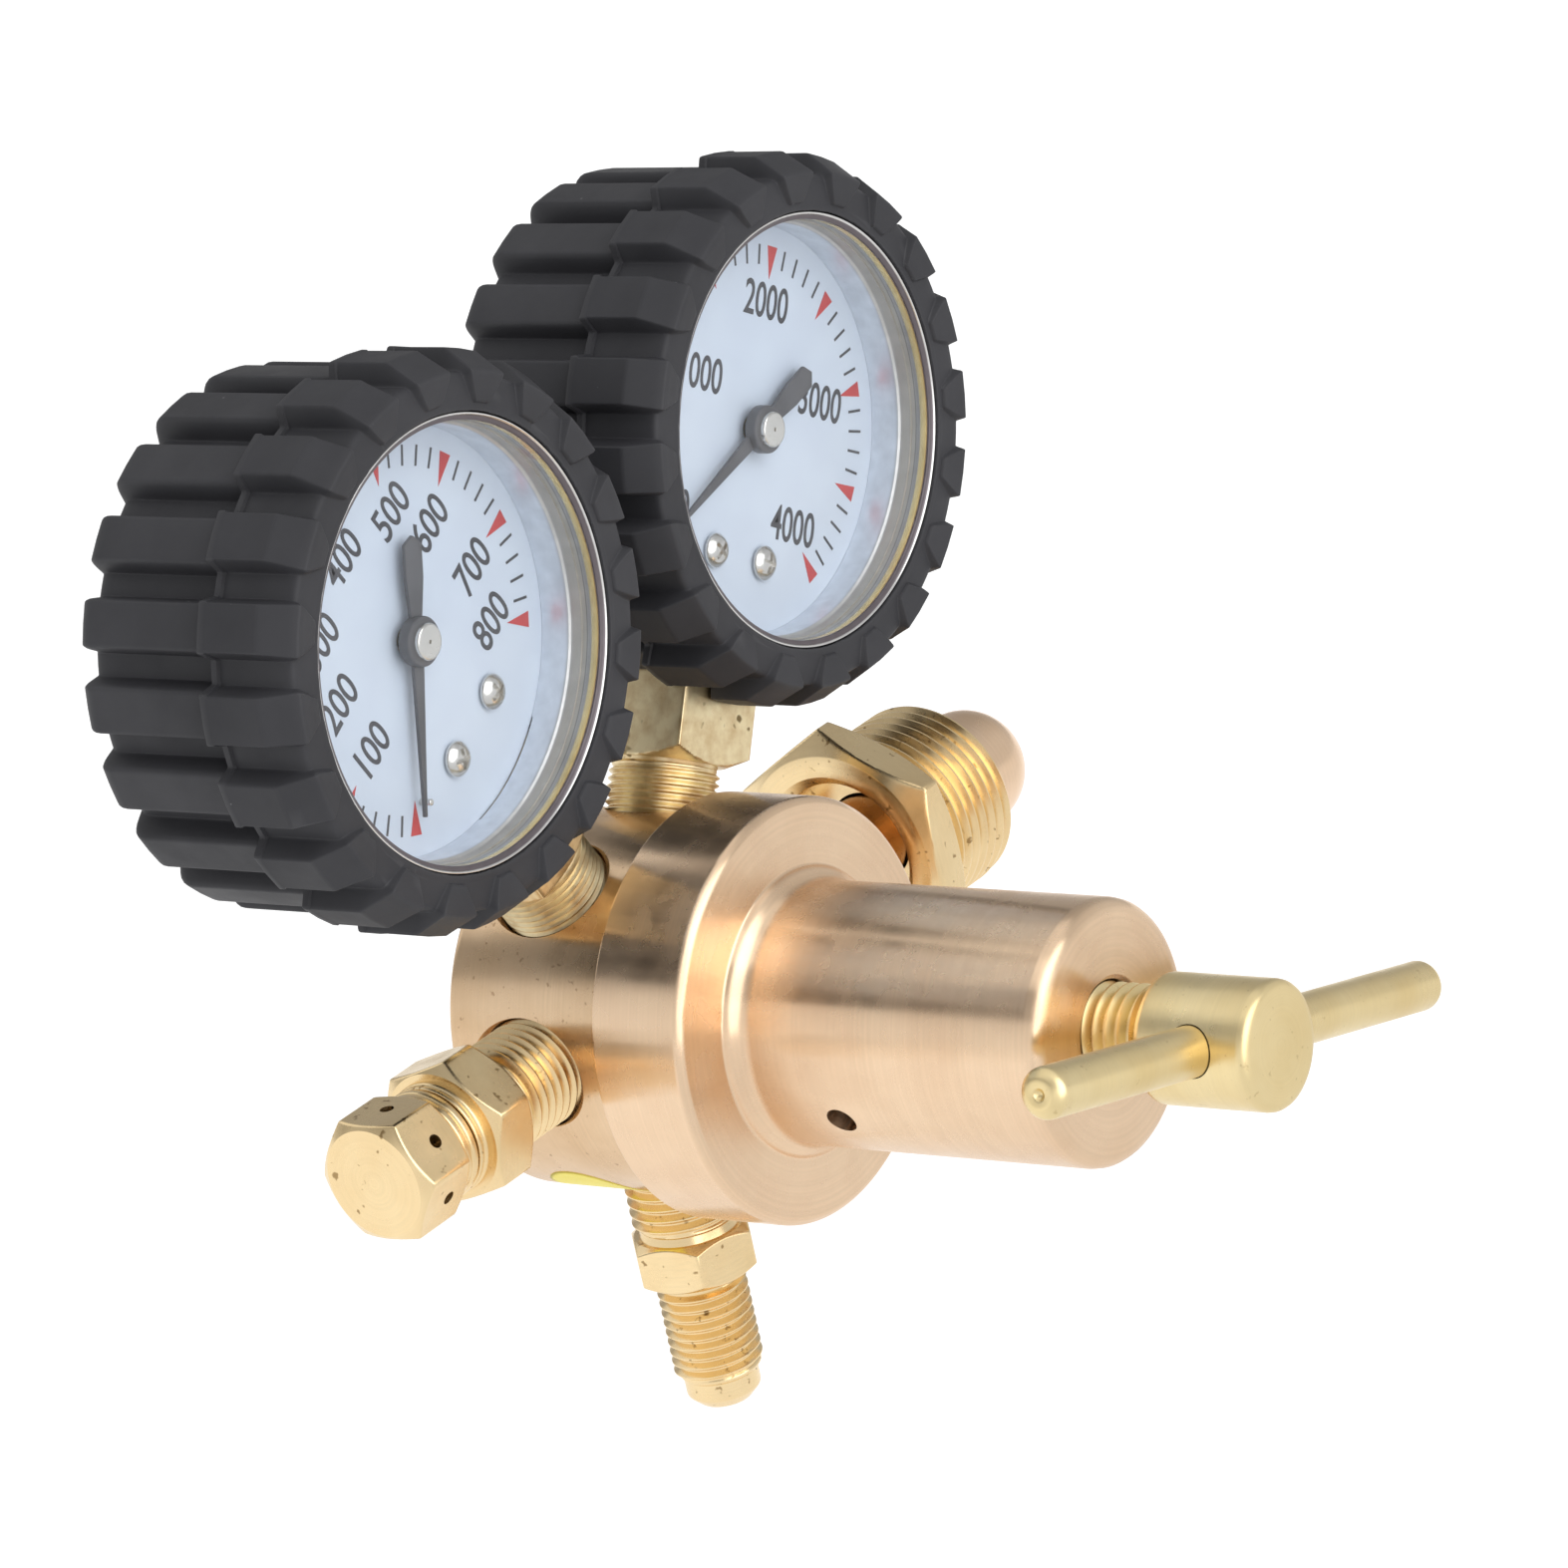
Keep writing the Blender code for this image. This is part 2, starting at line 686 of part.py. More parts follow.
def buildNipple():
    hexEnd = nippleHexStart + nippleHexLength
    noseStart = nutStart + nutLength + fitGap
    bend = math.acos(noseMouth / noseRadius)
    centre = noseTip - noseRadius * math.sin(bend)
    dome = arcPoints(noseRadius, 0, bend, 6, (0, centre))
    wide = nippleFlats / math.sqrt(3) + cutOver
    outer = dome[::-1] + [
        (noseRadius, noseStart), (nippleStemRadius, noseStart), (nippleStemRadius, hexEnd), (wide, hexEnd),
        (wide, nippleHexStart), (threadRadius, nippleHexStart), (threadRadius, fittingStart + softEdge),
        (threadRadius - softEdge, fittingStart),
    ]
    filterBore = filterRadius + fitGap
    filterEnd = fittingStart + filterInset + filterLength + fitGap
    bore = [(filterBore, fittingStart), (filterBore, filterEnd), (fittingBoreRadius, filterEnd),
            (fittingBoreRadius, dome[-1][1])]
    nipple = place(turned("inlet_nipple", outer + bore, ring=True), ports["inlet"])
    keepInside(nipple, place(hexagon("keep_nipple", nippleFlats, 0, noseTip + cutOver, group=cutters),
                             ports["inlet"]))
    giveFinish(nipple, "roseBrass")
    low = fittingStart + filterInset
    filterPiece = turned("inlet_filter", [(0, low + filterLength), (filterRadius, low + filterLength),
                                          (filterRadius, low), (0, low)])
    giveFinish(place(filterPiece, ports["inlet"]), "sinter")


def buildNut():
    end = nutStart + nutLength
    hexEnd = nutStart + nutHexLength
    wide = nutFlats / math.sqrt(3)
    bore = nippleStemRadius + fitGap
    profile = [
        (bore, end), (nutThreadRadius - nutChamfer, end), (nutThreadRadius, end - nutChamfer),
        (nutThreadRadius, hexEnd), (wide, hexEnd), (wide, nutStart + nutChamfer),
        (wide - 2 * nutChamfer, nutStart),
        (nutCounterRadius + nutChamfer, nutStart), (nutCounterRadius, nutStart + nutChamfer),
        (nutCounterRadius, nutStart + nutCounterDepth), (bore, nutStart + nutCounterDepth),
    ]
    nut = place(turned("inlet_nut", profile, ring=True), ports["inlet"])
    keepInside(nut, place(hexagon("keep_nut", nutFlats, nutStart - cutOver, end + cutOver, group=cutters),
                          ports["inlet"], rotation=(0, 0, nutTurn)))
    giveFinish(nut, "brass")


# Relief valve

def buildRelief():
    axis = ports["relief"]
    hexEnd = reliefHexStart + reliefHexLength
    neck = hexEnd + collarLength
    neckEnd = neck + reliefNeckLength
    wide = reliefFlats / math.sqrt(3)
    seat = reliefHexStart + reliefSeatDepth
    profile = [
        (reliefChamberRadius, neckEnd), (reliefNeckRadius, neckEnd), (reliefNeckRadius, neck),
        (collarRadius, neck), (collarRadius, hexEnd), (wide - softEdge, hexEnd), (wide, hexEnd - softEdge),
        (wide, reliefHexStart), (threadRadius, reliefHexStart), (threadRadius, fittingStart + softEdge),
        (threadRadius - softEdge, fittingStart), (reliefBore, fittingStart), (reliefBore, seat),
        (reliefChamberRadius, seat),
    ]
    valve = place(turned("relief_body", profile, ring=True), axis)
    keepInside(valve, place(hexagon("keep_relief", reliefFlats, 0, neckEnd + cutOver, group=cutters), axis))
    giveFinish(valve, "brass")
    buildReliefCap(axis, neck + fitGap, neckEnd + fitGap)
    low = seat + fitGap
    top = low + reliefPoppetLength
    poppet = [
        (0, top + reliefTailLength), (reliefTailRadius, top + reliefTailLength), (reliefTailRadius, top),
        (reliefPoppetRadius, top), (reliefPoppetRadius, low), (0, low),
    ]
    giveFinish(place(turned("relief_poppet", poppet), axis), "nylon")
    roof = neck + fitGap + capLength - capEnd
    spring = coil("relief_spring", reliefSpringRadius, reliefWire, reliefTurns, top + fitGap, roof - fitGap)
    giveFinish(place(spring, axis), "springSteel")


def buildReliefCap(axis, rear, step):
    front = rear + capLength
    collar = rear + capCollarLength
    wide = capFlats / math.sqrt(3)
    bore = reliefNeckRadius + fitGap
    profile = [
        (0, front), (wide - 2 * softEdge, front), (wide, front - softEdge), (wide, collar),
        (collarRadius, collar), (collarRadius, rear), (bore, rear), (bore, step),
        (reliefChamberRadius, step), (reliefChamberRadius, front - capEnd), (0, front - capEnd),
    ]
    cap = place(turned("relief_cap", profile), axis)
    flats = hexagon("keep_cap", capFlats, collar, front + cutOver, group=cutters)
    roundPart = rod("keep_cap_collar", collarRadius + cutOver, rear - cutOver, collar, group=cutters)
    join(flats, place(roundPart, axis))
    keepInside(cap, place(flats, axis))
    ventHeight = step + capVentRadius + fitGap
    for i in range(capVents):
        vent = rod("cut_cap_vent_%d" % i, capVentRadius, reliefChamberRadius - cutOver,
                   collarRadius + cutOver, sides=8, group=cutters)
        place(vent, axis, (0, 0, ventHeight), (math.radians(90), 0, math.tau * (i + 0.5) / capVents))
        cut(cap, vent)
    giveFinish(cap, "brass")


# Outlet

def buildOutlet():
    hexEnd = outletHexStart + outletHexLength
    threadStart = hexEnd + flareNeckLength
    threadEnd = threadStart + flareThreadLength
    tip = threadEnd + flareNoseLength
    wide = outletFlats / math.sqrt(3)
    profile = [
        (fittingBoreRadius, tip), (flareNeckRadius - flareConeLength, tip),
        (flareNeckRadius, tip - flareConeLength), (flareNeckRadius, threadEnd),
        (flareRadius - softEdge, threadEnd), (flareRadius, threadEnd - softEdge), (flareRadius, threadStart),
        (flareNeckRadius, threadStart), (flareNeckRadius, hexEnd), (wide - softEdge, hexEnd),
        (wide, hexEnd - softEdge), (wide, outletHexStart), (threadRadius, outletHexStart),
        (threadRadius, fittingStart + softEdge), (threadRadius - softEdge, fittingStart),
        (fittingBoreRadius, fittingStart),
    ]
    fitting = place(turned("outlet_fitting", profile, ring=True), ports["outlet"])
    keepInside(fitting, place(hexagon("keep_outlet", outletFlats, 0, tip + cutOver, group=cutters),
                              ports["outlet"], rotation=(0, 0, outletTurn)))
    giveFinish(fitting, "brass")


# Gauges. In a gauge's own frame X is to the right, Y away from the body and Z to the front

def buildStem(prefix, port, gauge):
    thread = [(0, stemSquareStart + cutOver), (threadRadius, stemSquareStart + cutOver),
              (threadRadius, fittingStart + softEdge), (threadRadius - softEdge, fittingStart), (0, fittingStart)]
    stem = place(turned(prefix + "stem", thread), port)
    squareEnd = gaugeDistance - caseRadius + squareInCase
    outer = block(prefix + "join_square", (stemSquare, stemSquare, squareEnd - stemSquareStart),
                  (0, 0, (squareEnd + stemSquareStart) / 2), group=cutters)
    join(stem, place(outer, port))
    blockFront = dialRear + fitGap
    blockRear = rimForward + innerBlockBehind
    blockLow = squareEnd - cutOver - gaugeDistance
    inner = block(prefix + "join_block",
                  (innerBlockWidth, -innerBlockTop - blockLow, blockRear - blockFront),
                  (0, (blockLow - innerBlockTop) / 2, -(blockFront + blockRear) / 2), group=cutters)
    join(stem, place(inner, gauge))
    feed = gaugeDistance - innerBlockTop - feedBelowTop
    bore = rod(prefix + "cut_stem_bore", gasWayRadius, 0, feed + gasWayRadius / 2, group=cutters)
    cut(stem, place(bore, port))
    side = rod(prefix + "cut_stem_side", feedRadius, 0, stemSquare, group=cutters)
    cut(stem, place(side, port, (0, 0, feed), (0, math.radians(-90), 0)))
    for number, (x, y) in enumerate(dialScrewPlaces()):
        hole = rod(prefix + "cut_stem_screw_%d" % number, dialScrewRadius + fitGap,
                   -dialDepth - dialScrewLength - fitGap, 0, group=cutters)
        cut(stem, place(hole, gauge, (x, y, 0)))
    giveFinish(stem, "brass")


def dialScrewPlaces():
    return [polar(dialScrewCircle, -math.pi / 2 + side * dialScrewAngle) for side in (-1, 1)]


def wallReach(outer, inner, width):
    """Half the height of a block at the outer radius that cuts a slot right through a round wall."""
    return outer - math.sqrt(inner ** 2 - (width / 2) ** 2) + cutOver


def buildCase(prefix, gauge):
    inner = caseRadius - caseWall
    profile = [
        (0, caseWall - caseDepth), (inner, caseWall - caseDepth), (inner, -lipDepth),
        (inner - lipWidth, -lipDepth), (inner - lipWidth, 0), (caseRadius - lipDepth, 0),
        (caseRadius, -lipDepth), (caseRadius, -caseDepth), (0, -caseDepth),
    ]
    case = place(turned(prefix + "case", profile), gauge)
    clear = stemSquare + 2 * fitGap
    reach = wallReach(caseRadius, inner, clear)
    hole = block(prefix + "cut_case", (clear, 2 * reach, clear), (0, -caseRadius, -rimForward), group=cutters)
    cut(case, place(hole, gauge))
    giveFinish(case, "steel")
    front = -lipDepth - fitGap
    crystal = rod(prefix + "crystal", inner - fitGap, front - crystalThickness, front)
    giveFinish(place(crystal, gauge), "crystalClear")


def buildDial(prefix, gauge):
    radius = caseRadius - caseWall - slideGap
    dial = rod(prefix + "dial", radius, -dialRear, -dialDepth)
    place(dial, gauge)
    centre = rod(prefix + "cut_dial_centre", 2 * arborRadius + fitGap, -dialRear - cutOver, 0, group=cutters)
    cut(dial, place(centre, gauge))
    for number, (x, y) in enumerate(dialScrewPlaces(), start=1):
        hole = rod(prefix + "cut_dial_screw_%d" % number, dialScrewRadius + fitGap, -dialRear - cutOver, 0,
                   group=cutters)
        cut(dial, place(hole, gauge, (x, y, 0)))
        buildDialScrew(prefix, number, gauge, x, y)
    x, y = polar(stopPinCircle, math.pi / 2 - zeroAngle + stopPinLag)
    pin = rod(prefix + "join_stop", stopPinRadius, -dialRear + dialThickness / 2, -dialDepth + stopPinLength,
              group=cutters)
    join(dial, place(pin, gauge, (x, y, 0)))
    giveFinish(dial, "dialPaint")


def buildDialScrew(prefix, number, gauge, x, y):
    seat = -dialDepth + fitGap
    profile = [
        (0, seat + dialScrewHeight), (0.6 * dialScrewHead, seat + dialScrewHeight),
        (dialScrewHead, seat + 0.4 * dialScrewHeight), (dialScrewHead, seat), (dialScrewRadius, seat),
        (dialScrewRadius, -dialDepth - dialScrewLength), (0, -dialDepth - dialScrewLength),
    ]
    screw = turned(prefix + "dial_screw_%d" % number, profile)
    giveFinish(place(screw, gauge, (x, y, 0)), "steel")


def buildPointer(prefix, gauge):
    rear = -dialDepth + pointerStand
    half = [(pointerTipWidth / 2, pointerTip), (pointerWidth / 2, hubRadius),
            (pointerWidth / 2, -hubRadius), (pointerTailWidth / 2, -0.6 * pointerTail),
            (pointerTailWidth / 2, pointerTailWidth / 3 - pointerTail)]
    blade = half + [(0, -pointerTail)] + [(-x, y) for x, y in reversed(half)]
    pointer = sheet(prefix + "pointer", [blade], rear, pointerThickness)
    hub = rod(prefix + "join_hub", hubRadius, rear - hubBack, rear + hubHeight, sides=24, group=cutters)
    place(pointer, gauge, rotation=(0, 0, -zeroAngle))
    join(pointer, place(hub, gauge))
    hole = rod(prefix + "cut_hub", arborHole, rear - cutOver, hubBoreEnd, group=cutters)
    cut(pointer, place(hole, gauge))
    giveFinish(pointer, "pointerPaint")


def toothOutline(pitchRadius, centres, spacing):
    """Trapezium teeth on an arc, thinner than their gaps so that they run free."""
    tip = pitchRadius + toothAddendum * toothModule
    root = pitchRadius - toothDedendum * toothModule
    points = []
    for centre in centres:
        points.append(polar(root, centre - toothFoot * spacing))
        points.append(polar(tip, centre - toothTip * spacing))
        points.append(polar(tip, centre + toothTip * spacing))
        points.append(polar(root, centre + toothFoot * spacing))
    return points


def buildPinion(prefix, gauge):
    spacing = math.tau / pinionTeeth
    centres = [-math.pi / 2 + spacing * (i + 0.5) for i in range(pinionTeeth)]
    outline = toothOutline(toothModule * pinionTeeth / 2, centres, spacing)
    pinion = sheet(prefix + "pinion", [outline], -gearDepth - gearThickness, gearThickness)
    place(pinion, gauge)
    arbor = rod(prefix + "join_arbor", arborRadius, -movementRear - pivotShare * movementPlate,
                hubBoreEnd - fitGap, group=cutters)
    join(pinion, place(arbor, gauge))
    giveFinish(pinion, "brass")


def sectorOutline():
    spacing = math.tau / sectorFullTeeth
    first = math.pi / 2 + spacing
    centres = [first - spacing * i for i in reversed(range(sectorTeethCut))]
    outline = toothOutline(toothModule * sectorFullTeeth / 2, centres, spacing)
    outline += arcPoints(sectorHubRadius, math.radians(135), math.radians(234), 2)
    outline += arcPoints(tailHalfWidth, tailAngle - math.pi / 2, tailAngle + math.pi / 2, 5,
                         polar(tailRadius, tailAngle))
    outline.append(polar(1.6 * sectorHubRadius, tailAngle + math.radians(52)))
    return outline


def buildSector(prefix, gauge):
    pivot = (0, -sectorDrop, 0)
    sector = sheet(prefix + "sector", [sectorOutline()], -gearDepth - gearThickness, gearThickness)
    place(sector, gauge, pivot)
    shaft = rod(prefix + "join_shaft", arborRadius, -movementRear - pivotShare * movementPlate,
                -movementFront - (1 - pivotShare) * movementPlate, group=cutters)
    join(sector, place(shaft, gauge, pivot))
    x, y = polar(tailRadius, tailAngle)
    pin = rod(prefix + "join_tail", tailPinRadius, -gearDepth - gearThickness / 2,
              -linkDepth - (1 - pivotShare) * linkThickness, group=cutters)
    join(sector, place(pin, gauge, (x, y - sectorDrop, 0)))
    giveFinish(sector, "brass")


def buildLink(prefix, gauge):
    x, y = polar(tailRadius, tailAngle)
    end = polar(linkLength, linkAngle)
    hole = circlePoints(tailPinRadius + fitGap, count=12)
    outline = stadium((0, 0), end, linkHalfWidth)
    piece = sheet(prefix + "link", [outline, hole], -linkDepth - linkThickness, linkThickness)
    giveFinish(place(piece, gauge, (x, y - sectorDrop, 0)), "brass")


def movementOutline():
    low = -innerBlockTop + fitGap
    return [(-plateHalfWidth, low), (plateHalfWidth, low), (plateHalfWidth, plateTop - plateCorner),
            (plateHalfWidth - plateCorner, plateTop), (plateCorner - plateHalfWidth, plateTop),
            (-plateHalfWidth, plateTop - plateCorner)]


def buildMovement(prefix, gauge):
    holes = [circlePoints(arborHole, count=10), circlePoints(arborHole, (0, -sectorDrop), count=10)]
    front = sheet(prefix + "movement", [movementOutline()] + holes, -movementFront - movementPlate,
                  movementPlate)
    place(front, gauge)
    rear = sheet(prefix + "join_rear_plate", [movementOutline()] + holes, -movementRear - movementPlate,
                 movementPlate, group=cutters)
    join(front, place(rear, gauge))
    for number, (side, height) in enumerate(zip((-1, -1, 1), pillarHeights)):
        pillar = rod(prefix + "join_pillar_%d" % number, pillarRadius, -movementRear - movementPlate / 2,
                     -movementFront - movementPlate / 2, sides=8, group=cutters)
        join(front, place(pillar, gauge, (side * pillarSide, height, 0)))
    giveFinish(front, "brass")


def buildBourdon(prefix, gauge):
    """Flattened tube bent round the movement, from the stem's block to its free end."""
    section = bpy.data.curves.new(prefix + "bourdon_section", "CURVE")
    section.dimensions = "2D"
    oval = [(bourdonHalfWidth * x, bourdonHalfDepth * y, 0) for x, y in circlePoints(1.0, count=8)]
    addPoly(section, oval, True)
    sectionObj = link(bpy.data.objects.new(prefix + "bourdon_section", section), cutters)
    curve = bpy.data.curves.new(prefix + "bourdon", "CURVE")
    curve.dimensions = "3D"
    curve.bevel_mode = "OBJECT"
    curve.bevel_object = sectionObj
    curve.use_fill_caps = True
    curve.twist_mode = "Z_UP"
    addPoly(curve, [(x, y, 0) for x, y in arcPoints(bourdonRadius, bourdonStart, bourdonEnd, bourdonSteps)], False)
    obj = meshFromCurve(link(bpy.data.objects.new(prefix + "bourdon", curve), parts), parts)
    bpy.data.objects.remove(sectionObj, do_unlink=True)
    giveFinish(place(obj, gauge, (0, 0, -rimForward)), "brass")


def lobeOutline(radius, valley, foot=lobeFoot, top=lobeTop):
    """Grip ribs with flat tops and sloping sides, the first one straight up."""
    spacing = math.tau / bootLobes
    points = []
    for i in range(bootLobes):
        centre = math.pi / 2 + spacing * i
        points.append(polar(valley, centre - foot * spacing))
        points.append(polar(radius, centre - top * spacing))
        points.append(polar(radius, centre + top * spacing))
        points.append(polar(valley, centre + foot * spacing))
    return points


def loft(name, rings):
    """Closed solid through outlines of equally many points, each (outline, height)."""
    mesh = bpy.data.meshes.new(name)
    work = bmesh.new()
    rows = [[work.verts.new((x, y, height)) for x, y in outline] for outline, height in rings]
    count = len(rows[0])
    for upper, lower in zip(rows, rows[1:]):
        for i in range(count):
            j = (i + 1) % count
            work.faces.new((upper[i], lower[i], lower[j], upper[j]))
    work.faces.new(rows[0])
    work.faces.new(rows[-1][::-1])
    work.to_mesh(mesh)
    work.free()
    return link(bpy.data.objects.new(name, mesh), parts)


def buildBoot(prefix, gauge):
    front = fitGap
    rear = -bootDepth
    valley = bootRadius - bootValley
    rearValley = bootRearRadius - bootValley
    boot = loft(prefix + "boot", [
        (lobeOutline(valley, valley - bootFrontEase, shieldFoot, shieldTip), front),
        (lobeOutline(bootRadius - bootFrontEase, valley, shieldFoot), front - bootFrontEase),
        (lobeOutline(bootRadius, valley), front - bootFrontChamfer),
        (lobeOutline(bootRadius, valley), -bootSeam),
        (lobeOutline(bootRearRadius, rearValley), -bootSeam - bootSeamStep),
        (lobeOutline(bootRearRadius, rearValley), rear + bootRearRounding),
        (lobeOutline(bootRearRadius - bootRearRounding, rearValley - bootRearRounding / 2), rear),
    ])
    place(boot, gauge)
    bore = rod(prefix + "cut_boot_bore", caseRadius + fitGap, rear + bootBack, front + cutOver, group=cutters)
    back = rod(prefix + "cut_boot_back", bootBackOpening, rear - cutOver, 0, group=cutters)
    clear = stemSquare + 4 * fitGap
    reach = wallReach(bootRadius, caseRadius + fitGap, clear)
    slot = block(prefix + "cut_boot_slot", (clear, 2 * reach, clear), (0, -bootRadius, -rimForward),
                 group=cutters)
    for cutter in (bore, back, slot):
        cut(boot, place(cutter, gauge))
    giveFinish(boot, "rubber")


def buildGauge(prefix, port):
    gauge = empty(prefix + "gauge", port, (0, -rimForward, gaugeDistance), (math.radians(90), 0, 0))
    buildStem(prefix, port, gauge)
    buildCase(prefix, gauge)
    buildDial(prefix, gauge)
    buildPointer(prefix, gauge)
    buildPinion(prefix, gauge)
    buildSector(prefix, gauge)
    buildLink(prefix, gauge)
    buildMovement(prefix, gauge)
    buildBourdon(prefix, gauge)
    buildBoot(prefix, gauge)


clearScene()
parts = newCollection("nitrogen_regulator")
cutters = newCollection("cutters")
frames = newCollection("frames")
cutters.hide_render = True

regulator = empty("regulator", location=(-inletReach, 0, 0))
bonnetAxis = empty("bonnet_axis", regulator, rotation=(math.radians(90), 0, 0))
portAngles = {
    "high": gaugeAngle,
    "low": -gaugeAngle,
    "inlet": inletAngle,
    "outlet": outletAngle,
    "relief": reliefAngle,
}
highPressurePorts = ("high", "inlet")
ports = {name: empty(name + "_port", regulator, rotation=(0, angle, 0)) for name, angle in portAngles.items()}

buildBody()
buildBonnet()
buildDiaphragm()
buildPlate()
buildSpringButton()
buildRangeSpring()
buildValve()
buildScrew()
buildNipple()
buildNut()
buildRelief()
buildOutlet()
buildGauge("high_", ports["high"])
buildGauge("low_", ports["low"])
bpy.context.view_layer.update()
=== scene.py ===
import math

import bmesh
import bpy
import numpy as np
from mathutils import Euler, Matrix, Vector


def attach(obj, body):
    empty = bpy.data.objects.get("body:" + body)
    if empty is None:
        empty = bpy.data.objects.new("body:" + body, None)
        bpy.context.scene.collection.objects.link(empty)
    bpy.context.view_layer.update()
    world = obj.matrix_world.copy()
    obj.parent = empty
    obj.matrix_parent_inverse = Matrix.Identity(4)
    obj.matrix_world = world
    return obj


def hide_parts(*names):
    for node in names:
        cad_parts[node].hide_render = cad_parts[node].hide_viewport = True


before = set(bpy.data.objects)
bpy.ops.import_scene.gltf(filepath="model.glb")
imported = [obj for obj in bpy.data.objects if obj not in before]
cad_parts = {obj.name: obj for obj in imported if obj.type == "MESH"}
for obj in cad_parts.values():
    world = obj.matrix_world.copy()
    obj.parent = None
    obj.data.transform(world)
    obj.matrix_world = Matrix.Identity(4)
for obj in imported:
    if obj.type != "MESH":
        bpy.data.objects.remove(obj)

mm = 0.001
tau = math.tau
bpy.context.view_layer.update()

# where things sit: the body stands off from the nipple's tip, ports fan out from its axis
regulatorPlace = {"x": -78.8, "high": 30, "low": -30, "inlet": 90, "outlet": 180, "relief": -90}
bodyFrame = Matrix.Translation((regulatorPlace["x"] * mm, 0, 0))
bonnetFrame = bodyFrame @ Matrix.Rotation(math.radians(90), 4, "X")


def portFrame(name):
    return bodyFrame @ Matrix.Rotation(math.radians(regulatorPlace[name]), 4, "Y")


def gaugeFrame(name):
    away = Matrix.Translation((0, -gauge["rimForward"] * mm, gauge["distance"] * mm))
    return portFrame(name) @ away @ Matrix.Rotation(math.radians(90), 4, "X")


def uprightFrame(name):
    # the same centre and axis, but not turned with its port
    return Matrix.Translation(gaugeFrame(name).translation) @ Matrix.Rotation(math.radians(90), 4, "X")


# mesh helpers, all in millimetres until the mesh is written

sideShare = 0.48       # how much of a side one rounded corner may take
flatEase = 0.18        # rounding where a flat meets a turned part
weld = 2e-7            # points closer than this, in metres, are one
threadShape = (0, 0, 0.33, 0.67, 1, 1, 0.67, 0.33)      # root to crest and back, over one pitch


def soften(points, steps=4):
    # a third number rounds that corner
    done = []
    for i, point in enumerate(points):
        here = np.array(point[:2], float)
        ease = point[2] if len(point) > 2 else 0
        if ease <= 0 or i in (0, len(points) - 1):
            done.append(tuple(here))
            continue
        back = np.array(points[i - 1][:2]) - here
        ahead = np.array(points[i + 1][:2]) - here
        size = min(ease, sideShare * np.linalg.norm(back), sideShare * np.linalg.norm(ahead))
        start = here + back / np.linalg.norm(back) * size
        end = here + ahead / np.linalg.norm(ahead) * size
        for k in range(steps + 1):
            t = k / steps
            done.append(tuple((1 - t) ** 2 * start + 2 * t * (1 - t) * here + t * t * end))
    return done


def evenAngles(count):
    return np.arange(count) / count * tau


def flatAngles(sides, turn, perSide=26):
    # samples crowd towards the corners of a hexagon or square
    fromMiddle = math.pi / sides * np.sin(math.pi / 2 * (np.arange(perSide) / perSide * 2 - 1))
    return np.concatenate([turn + tau * (k + 0.5) / sides + fromMiddle for k in range(sides)])


def softMin(a, b, ease):
    return np.minimum(a, b) - np.maximum(ease - np.abs(a - b), 0) ** 2 / (4 * ease)


def flatRadius(angles, sides, flats, turn, ease=0.3):
    faces = [flats / 2 / np.maximum(np.cos(angles - turn - tau * (k + 0.5) / sides), 0.01)
             for k in range(sides)]
    radius = faces[0]
    for face in faces[1:]:
        radius = softMin(radius, face, ease)
    return radius


def flatRun(low, high, flats, sides=6, lowEdge=0.97, highEdge=0.97, slope=0.55, steps=9):
    # profile of a hexagon turned down at both ends; an edge of 0 leaves that end square
    spare = 0.05       # the turned profile clears the corners by this
    corner = flats / 2 / math.cos(math.pi / sides) + spare
    points = []
    for height, edge, direction in ((low, lowEdge, 1), (high, highEdge, -1)):
        if edge == 0:
            run = [(corner, height)]
        else:
            start = flats / 2 * edge
            run = [(start + (corner - start) * k / steps,
                    height + direction * (corner - start) * slope * k / steps) for k in range(steps + 1)]
        points += run if direction == 1 else run[::-1]
    return points


def threadRows(thread, angles):
    # a spiral of rows that starts 1.5 pitches early and ends as late, held between low and high
    low, high, pitch, steps = thread["low"], thread["high"], thread["pitch"], len(threadShape)
    rows = int(steps * ((high - low) / pitch + 3))
    j = np.arange(rows + 1)[:, None]
    turnShare = (angles - angles[0])[None, :] / tau
    height = np.clip(low + pitch * (j / steps - 1.5 + turnShare), low, high)
    lead = np.minimum((height - low) / thread["fadeLow"], (high - height) / thread["fadeHigh"])
    root = thread["crest"] - thread["depth"]
    radius = root + thread["depth"] * np.array(threadShape)[j % steps] * np.clip(lead, 0, 1)
    return np.stack([radius * np.cos(angles), radius * np.sin(angles), height], -1)


def threadEnd(thread, end):
    return (thread["crest"] - thread["depth"], thread[end])


def addRows(work, rows, wrap=0):
    # quads between rows of points; a spiral's last point meets the first one of wrap rows on
    verts = [[work.verts.new(point * mm) for point in row] for row in rows]
    count = len(verts[0])
    for j in range(len(verts) - 1):
        for i in range(count):
            if i + 1 < count:
                corners = (verts[j][i], verts[j][i + 1], verts[j + 1][i + 1], verts[j + 1][i])
            elif j + 1 + wrap < len(verts):
                corners = (verts[j][i], verts[j + wrap][0], verts[j + 1 + wrap][0], verts[j + 1][i])
            else:
                continue
            work.faces.new(corners)


def finishMesh(work, name, sharp=32):
    bmesh.ops.remove_doubles(work, verts=work.verts, dist=weld)
    bmesh.ops.recalc_face_normals(work, faces=work.faces)
    mesh = bpy.data.meshes.new(name)
    work.to_mesh(mesh)
    work.free()
    mesh.shade_smooth()
    mesh.set_sharp_from_angle(angle=math.radians(sharp))
    return mesh


def addPiece(name, mesh, place):
    piece = bpy.data.objects.new(name, mesh)
    bpy.context.scene.collection.objects.link(piece)
    piece.matrix_world = place
    return piece


